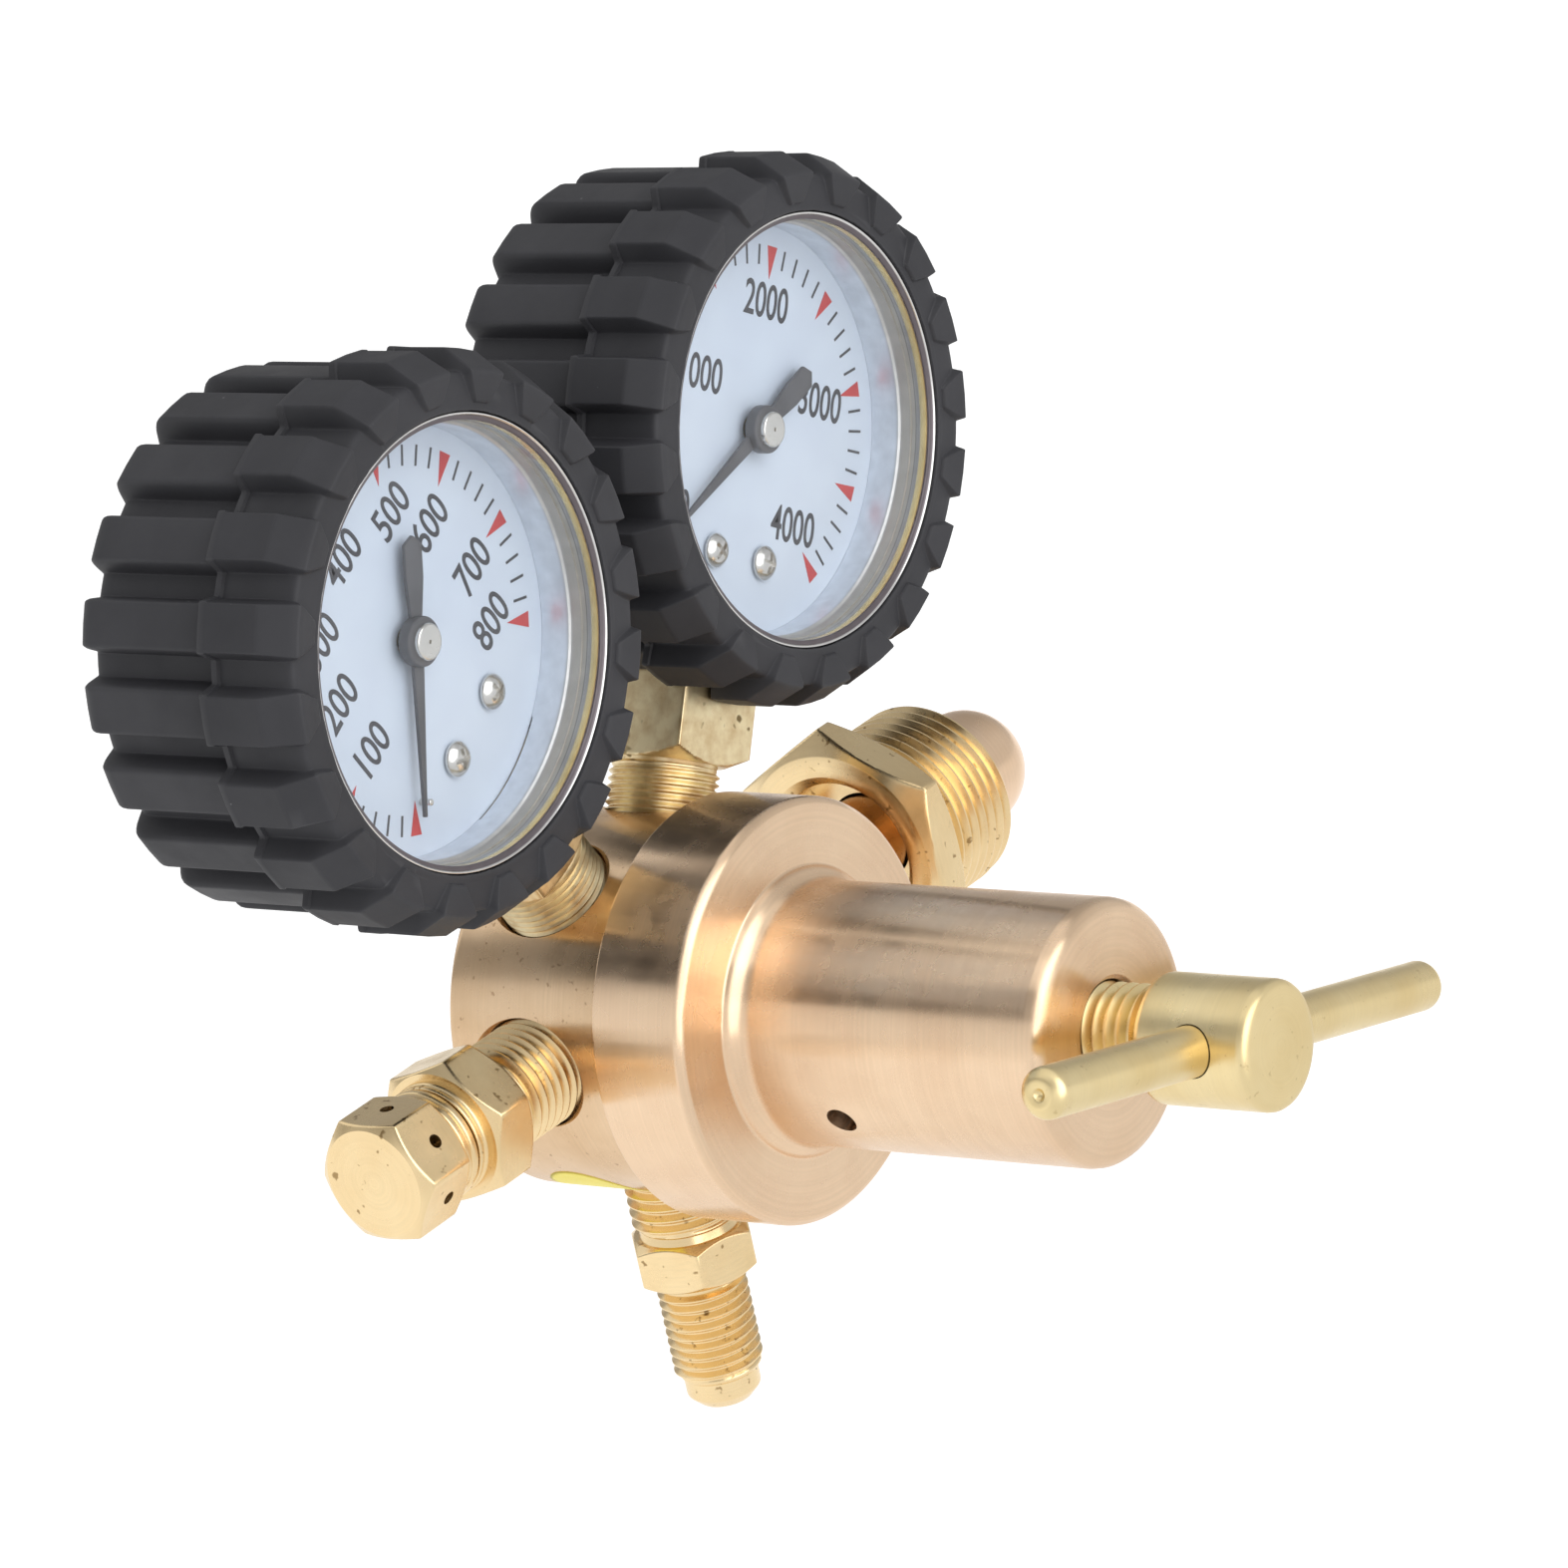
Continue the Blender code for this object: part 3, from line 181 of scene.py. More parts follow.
def turnedMesh(name, sections, angles=None, flats=None, sharp=32):
    # sections are profiles [(radius, height, ease), ...] and threads, from one end to the other
    angles = evenAngles(128) if angles is None else angles
    work = bmesh.new()
    for section in sections:
        if isinstance(section, dict):
            addRows(work, threadRows(section, angles), wrap=len(threadShape))
            continue
        rows = []
        for radius, height in soften(section):
            ring = np.full(len(angles), float(radius))
            if flats is not None and radius > 0:
                ring = softMin(ring, flatRadius(angles, *flats), flatEase)
            rows.append(np.stack([ring * np.cos(angles), ring * np.sin(angles),
                                  np.full(len(angles), float(height))], -1))
        addRows(work, np.array(rows))
    return finishMesh(work, name, sharp)


def turnedPiece(name, sections, place, angles=None, flats=None, sharp=32):
    return addPiece(name, turnedMesh(name, sections, angles, flats, sharp), place)


def boxMesh(name, low, high, bevel=0.0):
    work = bmesh.new()
    bmesh.ops.create_cube(work, size=1)
    size, middle = Vector(high) - Vector(low), (Vector(high) + Vector(low)) / 2
    for vert in work.verts:
        vert.co = Vector([(c * s + m) * mm for c, s, m in zip(vert.co, size, middle)])
    if bevel:
        bmesh.ops.bevel(work, geom=work.edges, offset=bevel * mm, segments=3, profile=0.5, affect="EDGES")
    return finishMesh(work, name)


def carve(piece, cutters, sharp=32):
    for cutter in cutters:
        step = piece.modifiers.new(cutter.name, "BOOLEAN")
        step.operation = "DIFFERENCE"
        step.solver = "EXACT"
        step.object = cutter
    bpy.context.view_layer.update()
    graph = bpy.context.evaluated_depsgraph_get()
    mesh = bpy.data.meshes.new_from_object(piece.evaluated_get(graph))
    piece.modifiers.clear()
    piece.data = mesh
    mesh.shade_smooth()
    mesh.set_sharp_from_angle(angle=math.radians(sharp))
    for cutter in cutters:
        bpy.data.objects.remove(cutter, do_unlink=True)
    return piece


def takeMesh(piece):
    # the mesh of a piece that was only needed for carving
    mesh = piece.data
    bpy.data.objects.remove(piece, do_unlink=True)
    return mesh


def roundShading(piece, radii, tolerance=0.02):
    # turned walls keep exact radial normals where a boolean has cut them
    mesh = piece.data
    normals = [Vector(corner.vector) for corner in mesh.corner_normals]
    for face in mesh.polygons:
        if abs(face.normal.z) > 0.01:
            continue
        reach = [mesh.vertices[v].co.xy.length / mm for v in face.vertices]
        if not any(max(abs(r - radius) for r in reach) < tolerance for radius in radii):
            continue
        outward = 1 if face.normal.xy.dot(face.center.xy) > 0 else -1
        for loop in face.loop_indices:
            co = mesh.vertices[mesh.loops[loop].vertex_index].co
            normals[loop] = Vector((co.x, co.y, 0)).normalized() * outward
    mesh.normals_split_custom_set(normals)


def cutterRod(radius, low, high, place, mouth=None, count=64):
    # a plain drill, or one that opens into a cone from height mouth up
    if mouth is None:
        wall = [(radius, high)]
    else:
        wall = [(radius, mouth), (radius + high - mouth, high)]
    points = [(0, low), (radius, low)] + wall + [(0, high)]
    return turnedPiece("cutter", [points], place, angles=evenAngles(count))


def cutterBox(low, high, bevel=0.0):
    return addPiece("cutter", boxMesh("cutter", low, high, bevel), Matrix.Identity(4))


def dress(piece, material, slot, *nodes, body="regulator_body"):
    # finish a piece, hang it on its body and let it stand for the solids it replaces
    piece.data.materials.append(material)
    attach(piece, body)
    if nodes:
        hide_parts(*nodes)
    return piece


# materials

def feed(tree, socket, value):
    if isinstance(value, bpy.types.NodeSocket):
        tree.links.new(value, socket)
    else:
        socket.default_value = value


def feedNamed(tree, node, **values):
    for name, value in values.items():
        feed(tree, node.inputs[name.replace("_", " ")], value)


def addNode(tree, kind, *sources, **settings):
    # sources go to the first inputs in order, settings to the node itself or to the input of that name
    node = tree.nodes.new(kind)
    for name, value in settings.items():
        if hasattr(node, name):
            setattr(node, name, value)
        else:
            feedNamed(tree, node, **{name: value})
    for socket, value in zip(node.inputs, sources):
        feed(tree, socket, value)
    return node


def newMaterial(name, **sockets):
    material = bpy.data.materials.new(name)
    material.use_nodes = True
    tree = material.node_tree
    shader = tree.nodes["Principled BSDF"]
    feedNamed(tree, shader, **sockets)
    return material, tree, shader, addNode(tree, "ShaderNodeTexCoord").outputs["Object"]


def rampBetween(tree, source, stops):
    ramp = addNode(tree, "ShaderNodeValToRGB", source)
    band = ramp.color_ramp
    while len(band.elements) < len(stops):
        band.elements.new(0.5)
    for element, (position, color) in zip(band.elements, stops):
        element.position = position
        element.color = (*color, 1)
    return ramp.outputs["Color"]


def spread(tree, source, low, high, fromLow=0.3, fromHigh=0.7):
    return addNode(tree, "ShaderNodeMapRange", Value=source, From_Min=fromLow, From_Max=fromHigh,
                   To_Min=low, To_Max=high).outputs["Result"]


def noiseFrom(tree, vector, scale, detail=3.0, rough=0.55):
    return addNode(tree, "ShaderNodeTexNoise", Vector=vector, Scale=scale, Detail=detail,
                   Roughness=rough).outputs["Fac"]


def mixColor(tree, factor, first, second, blend="MIX"):
    node = addNode(tree, "ShaderNodeMix", data_type="RGBA", blend_type=blend)
    for index, value in ((0, factor), (6, first), (7, second)):
        feed(tree, node.inputs[index], (*value, 1) if isinstance(value, tuple) else value)
    return node.outputs[2]


def addBump(tree, shader, height, strength, depth, before=None):
    bump = addNode(tree, "ShaderNodeBump", Strength=strength, Distance=depth * mm, Height=height)
    if before is not None:
        tree.links.new(before, bump.inputs["Normal"])
    tree.links.new(bump.outputs["Normal"], shader.inputs["Normal"])
    return bump.outputs["Normal"]


def turningLines(tree, vector):
    # radius and height of a point, so a noise read from them runs round the piece in rings
    x, y, z = addNode(tree, "ShaderNodeSeparateXYZ", vector).outputs
    flat = addNode(tree, "ShaderNodeCombineXYZ", x, y).outputs[0]
    radius = addNode(tree, "ShaderNodeVectorMath", flat, operation="LENGTH").outputs["Value"]
    return addNode(tree, "ShaderNodeCombineXYZ", radius, z).outputs[0]


def cloudColor(tree, where, look, detail):
    cloud = noiseFrom(tree, where, look["cloudScale"], detail)
    return rampBetween(tree, cloud, list(zip(look["cloudStops"], (look["dark"], look["light"]))))


# what the metals share unless their own look says otherwise
commonMetal = {"cloudScale": 70, "cloudStops": (0.3, 0.62), "specks": 0, "speckStops": (0.66, 0.72),
               "rings": 0, "ringScale": 2600, "ringBump": 0.2, "smearScale": 240,
               "grainScale": 1800, "grainBump": 0.1, "bumpDepth": 0.01, "turned": 0}


def makeMetal(name, ownLook):
    look = {**commonMetal, **ownLook}
    material, tree, shader, where = newMaterial(name, Metallic=1.0)
    color = cloudColor(tree, where, look, 4.0)
    if look["specks"]:
        dots = noiseFrom(tree, where, look["speckScale"], 2.0, 0.7)
        mask = spread(tree, dots, 0, look["specks"], *look["speckStops"])
        color = mixColor(tree, mask, color, look["speckColor"])
    rings = noiseFrom(tree, turningLines(tree, where), look["ringScale"], 2.0)
    if look["rings"]:
        color = mixColor(tree, 1.0, color, spread(tree, rings, 1 - look["rings"], 1.0), "MULTIPLY")
    smear = noiseFrom(tree, where, look["smearScale"])
    feedNamed(tree, shader, Base_Color=color, Roughness=spread(tree, smear, *look["rough"]))
    normal = addBump(tree, shader, rings, look["ringBump"], look["bumpDepth"])
    grain = noiseFrom(tree, where, look["grainScale"])
    addBump(tree, shader, grain, look["grainBump"], look["bumpDepth"], normal)
    if look["turned"]:
        # tool marks run round the piece, so gloss smears across them
        marks = addNode(tree, "ShaderNodeTangent", direction_type="RADIAL", axis="Z").outputs[0]
        feedNamed(tree, shader, Anisotropic=look["turned"], Anisotropic_Rotation=0.25, Tangent=marks)
    return material


metalLooks = {
    "roseBrass": {"light": (0.90, 0.67, 0.46), "dark": (0.84, 0.60, 0.40), "rough": (0.23, 0.30),
                  "turned": 0.92, "rings": 0.06, "ringBump": 0.12, "grainBump": 0.02},
    "bodyBrass": {"light": (0.82, 0.60, 0.39), "dark": (0.71, 0.49, 0.29), "rough": (0.22, 0.30),
                  "turned": 0.9, "rings": 0.07, "ringBump": 0.12, "grainBump": 0.02,
                  "specks": 0.5, "speckScale": 900, "speckColor": (0.30, 0.17, 0.08)},
    "stockBrass": {"light": (0.92, 0.72, 0.42), "dark": (0.84, 0.62, 0.33), "rough": (0.18, 0.32),
                   "rings": 0.05, "ringBump": 0.12, "grainBump": 0.14, "specks": 0.75, "speckScale": 620,
                   "speckColor": (0.25, 0.14, 0.04)},
    "paleBrass": {"light": (0.90, 0.74, 0.42), "dark": (0.82, 0.64, 0.32), "rough": (0.26, 0.38),
                  "rings": 0.04, "ringBump": 0.1, "grainBump": 0.2, "specks": 0.3, "speckScale": 700,
                  "speckColor": (0.40, 0.26, 0.10)},
    "sawnBrass": {"light": (0.88, 0.745, 0.47), "dark": (0.66, 0.49, 0.27), "rough": (0.26, 0.46),
                  "cloudScale": 420, "ringBump": 0.05, "grainBump": 0.35,
                  "specks": 0.9, "speckScale": 330, "speckColor": (0.16, 0.10, 0.03)},
    "noseBrass": {"light": (0.90, 0.66, 0.46), "dark": (0.84, 0.58, 0.36), "rough": (0.20, 0.28),
                  "rings": 0.04, "ringBump": 0.12, "grainBump": 0.02},
    "nickel": {"light": (0.80, 0.78, 0.74), "dark": (0.66, 0.64, 0.61), "rough": (0.14, 0.28),
               "rings": 0.04, "grainBump": 0.08},
    "plainSteel": {"light": (0.62, 0.62, 0.61), "dark": (0.48, 0.48, 0.48), "rough": (0.25, 0.4),
                   "rings": 0.08, "grainBump": 0.1},
    "springSteel": {"light": (0.42, 0.42, 0.44), "dark": (0.28, 0.28, 0.30), "rough": (0.28, 0.42),
                    "grainBump": 0.12},
    "sinteredBronze": {"light": (0.60, 0.40, 0.22), "dark": (0.36, 0.22, 0.11), "rough": (0.5, 0.75),
                       "cloudScale": 1500, "grainScale": 5200, "grainBump": 0.8},
}
metals = {name: makeMetal(name, look) for name, look in metalLooks.items()}

plainLooks = {
    "seatNylon": {"light": (0.78, 0.76, 0.70), "dark": (0.70, 0.67, 0.60), "rough": (0.35, 0.5),
                  "grain": 1600, "bump": 0.1},
    "diaphragmRubber": {"light": (0.04, 0.04, 0.042), "dark": (0.025, 0.025, 0.026), "rough": (0.5, 0.7),
                        "grain": 2600, "bump": 0.3},
    "dialPaint": {"light": (0.66, 0.735, 0.84), "dark": (0.63, 0.70, 0.81), "rough": (0.42, 0.5),
                  "grain": 3000, "bump": 0.04},
    "greyInk": {"light": (0.075, 0.075, 0.085), "dark": (0.05, 0.05, 0.06), "rough": (0.45, 0.6),
                "grain": 4000, "bump": 0.05},
    "redInk": {"light": (0.62, 0.075, 0.075), "dark": (0.52, 0.05, 0.055), "rough": (0.45, 0.6),
               "grain": 4000, "bump": 0.05},
    "pointerPaint": {"light": (0.115, 0.115, 0.124), "dark": (0.085, 0.085, 0.092), "rough": (0.38, 0.5),
                     "grain": 3000, "bump": 0.12},
    "stickerPaper": {"light": (0.92, 0.80, 0.16), "dark": (0.85, 0.72, 0.12), "rough": (0.45, 0.6),
                     "grain": 2000, "bump": 0.1},
}


commonPlain = {"cloudScale": 160, "cloudStops": (0.35, 0.65), "bumpDepth": 0.02}


def makePlain(name, ownLook):
    look = {**commonPlain, **ownLook}
    material, tree, shader, where = newMaterial(name, Metallic=0.0)
    color = cloudColor(tree, where, look, 3.0)
    grain = noiseFrom(tree, where, look["grain"])
    feedNamed(tree, shader, Base_Color=color, Roughness=spread(tree, grain, *look["rough"]))
    addBump(tree, shader, grain, look["bump"], look["bumpDepth"])
    return material


plains = {name: makePlain(name, look) for name, look in plainLooks.items()}

rubberLook = {"dark": (0.028, 0.028, 0.032), "light": (0.038, 0.038, 0.043), "cloudScale": 60,
              "cloudStops": (0.32, 0.66), "worn": (0.055, 0.055, 0.060), "wornMost": 0.6,
              "wornStops": (0.52, 0.60), "dust": (0.20, 0.20, 0.21), "dustScale": 310.0,
              "dustStops": (0.035, 0.06), "patchScale": 420, "patchStops": (0.60, 0.66),
              "rough": (0.5, 0.66), "smearScale": 130,
              # scale, strength and depth of the fine grain and of the slow waves
              "bumps": [(4200, 0.25, 0.03), (260, 0.12, 0.15)]}


def makeBootRubber(look):
    material, tree, shader, where = newMaterial("bootRubber", Metallic=0.0, Specular_IOR_Level=0.32)
    color = cloudColor(tree, where, look, 5.0)
    edges = addNode(tree, "ShaderNodeNewGeometry").outputs["Pointiness"]
    color = mixColor(tree, spread(tree, edges, 0, look["wornMost"], *look["wornStops"]), color, look["worn"])
    # specks of dust, in patches
    specks = addNode(tree, "ShaderNodeTexVoronoi", Vector=where, Scale=look["dustScale"], Randomness=1.0)
    near = spread(tree, specks.outputs["Distance"], 1, 0, *look["dustStops"])
    few = spread(tree, noiseFrom(tree, where, look["patchScale"], 1.0), 0, 1, *look["patchStops"])
    both = addNode(tree, "ShaderNodeMath", near, few, operation="MULTIPLY").outputs[0]
    smear = noiseFrom(tree, where, look["smearScale"], 4.0)
    feedNamed(tree, shader, Base_Color=mixColor(tree, both, color, look["dust"]),
              Roughness=spread(tree, smear, *look["rough"]))
    normal = None
    for scale, strength, depth in look["bumps"]:
        normal = addBump(tree, shader, noiseFrom(tree, where, scale), strength, depth, normal)
    return material


bootRubber = makeBootRubber(rubberLook)

crystalLook = {"rough": 0.04, "cloudScale": 40, "cloudStops": (0.3, 0.7), "dark": (0.955, 0.965, 0.975),
               "light": (0.975, 0.98, 0.985), "straight": 0.025, "grazing": 0.4, "falloff": 4}


def makeCrystal(look):
    # thin clear acrylic: what is behind shows through, gloss comes on top
    material, tree, shader, where = newMaterial("crystalClear")
    clear = addNode(tree, "ShaderNodeBsdfTransparent", Color=cloudColor(tree, where, look, 3.0))
    gloss = addNode(tree, "ShaderNodeBsdfGlossy", Roughness=look["rough"])
    facing = addNode(tree, "ShaderNodeLayerWeight", Blend=0.5).outputs["Facing"]
    slant = addNode(tree, "ShaderNodeMath", facing, look["falloff"], operation="POWER").outputs[0]
    share = spread(tree, slant, look["straight"], look["grazing"], 0, 1)
    blend = addNode(tree, "ShaderNodeMixShader", share, clear.outputs[0], gloss.outputs[0])
    tree.nodes.remove(shader)
    tree.links.new(blend.outputs[0], tree.nodes["Material Output"].inputs["Surface"])
    return material


crystalClear = makeCrystal(crystalLook)

# depth under the rim in mm, colour, metallic and roughness of the case's inner steps; the two dark bands just
# under the rolled rim are painted shade inside the lip
caseLook = {"deepest": 10, "cloudScale": 500, "shade": 0.85, "ringScale": 2600, "ringBump": 0.12,
            "bumpDepth": 0.01, "bands": [
    (10.0, (0.86, 0.88, 0.91), 1.0, 0.40), (5.2, (0.84, 0.86, 0.89), 1.0, 0.36),
    (4.3, (0.50, 0.47, 0.43), 0.6, 0.40), (2.5, (0.50, 0.46, 0.39), 0.5, 0.40),
    (2.38, (0.18, 0.17, 0.16), 0.5, 0.30), (2.28, (0.42, 0.40, 0.37), 0.5, 0.30),
    (1.8, (0.42, 0.40, 0.37), 0.5, 0.30), (1.7, (0.86, 0.70, 0.38), 0.7, 0.25),
    (0.95, (0.80, 0.60, 0.27), 0.7, 0.25), (0.72, (0.55, 0.34, 0.12), 0.7, 0.25),
    # the two dark bands on the next line are painted shade inside the rolled lip
    (0.62, (0.12, 0.10, 0.11), 0.6, 0.30), (0.2, (0.15, 0.13, 0.14), 0.6, 0.30),
    (0.1, (0.80, 0.79, 0.78), 1.0, 0.15)]}


def makeCaseSteel(look):
    # plated steel: mirror-like wall by the dial, dull and yellow steps, a dark band of painted shade under the
    # lip, bright rolled rim
    material, tree, shader, where = newMaterial("caseSteel", Metallic=1.0)
    height = addNode(tree, "ShaderNodeSeparateXYZ", where).outputs[2]
    depth = spread(tree, height, 0, 1, -look["deepest"] * mm, 0)
    downs, colors, metals, roughs = zip(*look["bands"])
    places = [1 - down / look["deepest"] for down in downs]
    # these colours carry the painted shade of the dark bands under the lip
    color, metallic, rough = (rampBetween(tree, depth, list(zip(places, values))) for values in (
        colors, [(metal,) * 3 for metal in metals], [(rough,) * 3 for rough in roughs]))
    shade = spread(tree, noiseFrom(tree, where, look["cloudScale"]), look["shade"], 1.0)
    feedNamed(tree, shader, Base_Color=mixColor(tree, 1.0, color, shade, "MULTIPLY"), Metallic=metallic,
              Roughness=rough)
    rings = noiseFrom(tree, turningLines(tree, where), look["ringScale"])
    addBump(tree, shader, rings, look["ringBump"], look["bumpDepth"])
    return material


caseSteel = makeCaseSteel(caseLook)
print("materials made")

# body: five ports round a turned disc, a neck and the valve bores in front

body = {"radius": 22.7, "rear": -11, "front": 12.2, "neck": 21.5, "neckFront": 19.2, "recess": 18,
        "recessFloor": 12.5, "valveBore": 7.2, "ledge": 3.3, "chamber": 5.2, "chamberRear": -6,
        "port": 7.0, "portBottom": 16, "mouth": 21.6, "drillOver": 2}


def bodyProfile(radius, rear, front, neck, neckFront, recess, recessFloor, valveBore, ledge, chamber,
                chamberRear, **ports):
    return [(0, chamberRear), (chamber, chamberRear), (chamber, ledge), (valveBore, ledge),
            (valveBore, recessFloor), (recess, recessFloor), (recess, neckFront), (neck, neckFront, 0.6),
            (neck, front), (radius, front, 0.45), (radius, rear, 0.9), (14, rear), (0, rear)]


bodyPiece = turnedPiece("regulator_body_turned", [bodyProfile(**body)], bonnetFrame,
                        angles=evenAngles(192))
drill = (body["port"], body["portBottom"], body["radius"] + body["drillOver"])
carve(bodyPiece, [cutterRod(*drill, portFrame(name), mouth=body["mouth"])
                  for name in ("high", "low", "inlet", "outlet", "relief")])
roundShading(bodyPiece, [body["radius"]])
dress(bodyPiece, metals["bodyBrass"], "rose_brass", "body")
print("body carved")

# bonnet

bonnet = {"rear": 12.5, "skirt": 21.8, "shoulder": 21.6, "springBore": 12.6, "noseRear": 60, "hole": 6.3,
          "front": 68.2, "barrel": 15.6, "flange": 25.3, "flangeFront": 25.3, "rootRing": 17.0,
          "edge": 0.75, "holeEdge": 0.5, "vent": 1.9, "ventForward": 37.9, "ventAngle": -116,
          "ventDrill": (11.5, 17)}


def bonnetProfile(rear, skirt, shoulder, springBore, noseRear, hole, front, barrel, flange, flangeFront,
                  rootRing, edge, holeEdge, **vent):
    return [(springBore, shoulder), (springBore, noseRear, 0.8), (hole, noseRear), (hole, front - holeEdge),
            (hole + holeEdge, front), (barrel, front, 2.0), (barrel, flangeFront + 1.9, 0.9),
            (rootRing, flangeFront + 0.7, 0.5), (rootRing + 0.3, flangeFront, 0.3),
            (flange - edge, flangeFront, 0.35), (flange, flangeFront - edge, 0.35), (flange, rear, 0.3),
            (skirt, rear), (skirt, shoulder), (springBore, shoulder)]


bonnetPiece = turnedPiece("bonnet_turned", [bonnetProfile(**bonnet)], bonnetFrame, angles=evenAngles(192))
ventFrame = (bodyFrame @ Matrix.Translation((0, -bonnet["ventForward"] * mm, 0))
             @ Matrix.Rotation(math.radians(bonnet["ventAngle"]), 4, "Y"))
carve(bonnetPiece, [cutterRod(bonnet["vent"], *bonnet["ventDrill"], ventFrame, count=48)])
roundShading(bonnetPiece, [bonnet["barrel"], bonnet["flange"]])
dress(bonnetPiece, metals["roseBrass"], "rose_brass", "bonnet")
print("bonnet carved")

# adjusting screw and its bar

screw = {"radius": 6.0, "tip": 57.0, "tipEdge": 1.6, "head": 7.6, "headRear": 75.5, "headFront": 90.8,
         "neckDepth": 0.8, "pitch": 1.6, "depth": 0.95, "lead": 0.3, "runout": 0.5}
bar = {"radius": 3.0, "near": 37.1, "far": 43.3, "endFlat": 1.7, "endRound": 0.9, "spot": 0.75,
       "spotFloor": 0.25, "forward": 83.15, "angle": -75, "hole": 3.12, "holeHalf": 9}


def screwSections(radius, tip, tipEdge, head, headRear, headFront, neckDepth, pitch, depth, lead, runout):
    thread = dict(low=tip + lead, high=headRear - runout, crest=radius, depth=depth, pitch=pitch,
                  fadeLow=1.0, fadeHigh=0.5)
    return [[(0, tip), (radius - tipEdge, tip), threadEnd(thread, "low")], thread,
            [threadEnd(thread, "high"), (radius - neckDepth, headRear), (head, headRear, 1.0),
             (head, headFront, 1.3), (0, headFront)]]


def barProfile(radius, near, far, endFlat, endRound, spot, spotFloor, **hole):
    return [(0, near - spot), (spotFloor, near - spot), (spot, near - 0.12, 0.15), (endFlat, near, 0.4),
            (radius, near - endRound, endRound), (radius, endRound - far, endRound), (endFlat, -far, 0.4),
            (0, -far)]


screwPiece = turnedPiece("adjusting_screw_turned", screwSections(**screw), bonnetFrame,
                         angles=evenAngles(144))
barFrame = (bonnetFrame @ Matrix.Translation((0, 0, bar["forward"] * mm))
            @ Euler((math.radians(-90), 0, math.radians(-bar["angle"]))).to_matrix().to_4x4())
carve(screwPiece, [cutterRod(bar["hole"], -bar["holeHalf"], bar["holeHalf"], barFrame)])
roundShading(screwPiece, [screw["head"]])
dress(screwPiece, metals["paleBrass"], "brass", "adjusting_screw", body="adjusting_screw")

barPiece = turnedPiece("t_bar_turned", [barProfile(**bar)], barFrame, angles=evenAngles(96), sharp=60)
dress(barPiece, metals["paleBrass"], "brass", "t_bar", body="adjusting_screw")
print("screw and bar done")

# what every fitting's threaded end shares

pipe = {"crest": 6.7, "depth": 0.8, "pitch": 1.41, "start": 16.3, "tip": 5.2, "lead": 0.8,
        "clear": 0.02, "fade": 0.9}


def fittingSections(bore, threadHigh, profile, **other):
    # rear face and thread of a fitting, then its profile from the thread's end on
    start, fade = pipe["start"], pipe["fade"]
    thread = {"low": start + pipe["lead"], "high": threadHigh, "crest": pipe["crest"] - pipe["clear"],
              "depth": pipe["depth"], "pitch": pipe["pitch"], "fadeLow": fade, "fadeHigh": fade, **other}
    return [[(bore, start), (pipe["tip"], start), threadEnd(thread, "low")], thread,
            [threadEnd(thread, "high")] + profile]


hexTurn = math.radians(90)     # a plain hexagon has a corner at the front


def hexPiece(name, sections, port, part, perSide=26):
    flats, turn = part["flats"], part.get("turn", hexTurn)
    return turnedPiece(name, sections, portFrame(port), angles=flatAngles(6, turn, perSide),
                       flats=(6, flats, turn))


# inlet nipple and nut

nipple = {"flats": 16, "hexLow": 31, "hexHigh": 38, "stem": 5.6, "bore": 2.2, "filterBore": 3.4,
          "filterEnd": 28.0, "nose": 7.7, "noseLow": 65.3, "tip": 78.8, "mouth": 2.6, "mouthEdge": 0.5,
          "runout": 1.2, "domeSteps": 20}


def nippleSections(flats, hexLow, hexHigh, stem, bore, filterBore, filterEnd, nose, noseLow, tip, mouth,
                   mouthEdge, runout, domeSteps):
    bend = math.acos(mouth / nose)
    centre = tip - nose * math.sin(bend)
    dome = [(nose * math.cos(bend * k / domeSteps), centre + nose * math.sin(bend * k / domeSteps))
            for k in range(domeSteps + 1)]
    return fittingSections(
        filterBore, hexLow - runout, [(pipe["crest"] - pipe["depth"], hexLow)]
        + flatRun(hexLow, hexHigh, flats) + [(stem, hexHigh), (stem, noseLow), (nose, noseLow, 0.6)] + dome
        + [(bore, tip - mouthEdge), (bore, filterEnd), (filterBore, filterEnd), (filterBore, pipe["start"])])


turnedNipple = hexPiece("inlet_nipple_turned", nippleSections(**nipple), "inlet", nipple)
dress(turnedNipple, metals["noseBrass"], "rose_brass", "inlet_nipple")

nut = {"low": 43.3, "hexHigh": 49.0, "high": 65.0, "flats": 28.5, "turn": math.radians(116.8),
       "crest": 12.2, "depth": 1.1, "pitch": 1.81, "counter": 9.3, "counterDepth": 6.7, "counterEdge": 1.4,
       "bore": 5.9, "lead": 0.9, "runout": 0.5}


def nutSections(low, hexHigh, high, flats, crest, depth, pitch, counter, counterDepth, counterEdge, bore,
                lead, runout, **turn):
    thread = dict(low=hexHigh + lead, high=high - runout, crest=crest, depth=depth, pitch=pitch,
                  fadeLow=0.7, fadeHigh=1.1)
    floor = low + counterDepth
    hexagon = flatRun(low, hexHigh, flats, lowEdge=0.93, highEdge=0.985, slope=0.6, steps=14)
    return [[(bore, high), (crest - 1.9, high, 0.3), threadEnd(thread, "high")], thread,
            [threadEnd(thread, "low"), (crest - depth, hexHigh, 0.2)] + hexagon[::-1]
            + [(counter + counterEdge, low), (counter, low + counterEdge, 0.2), (counter, floor),
               (bore, floor), (bore, high)]]


nutPiece = hexPiece("inlet_nut_turned", nutSections(**nut), "inlet", nut, perSide=30)
dress(nutPiece, metals["stockBrass"], "brass", "inlet_nut", body="inlet_nut")
print("inlet done")

# relief valve

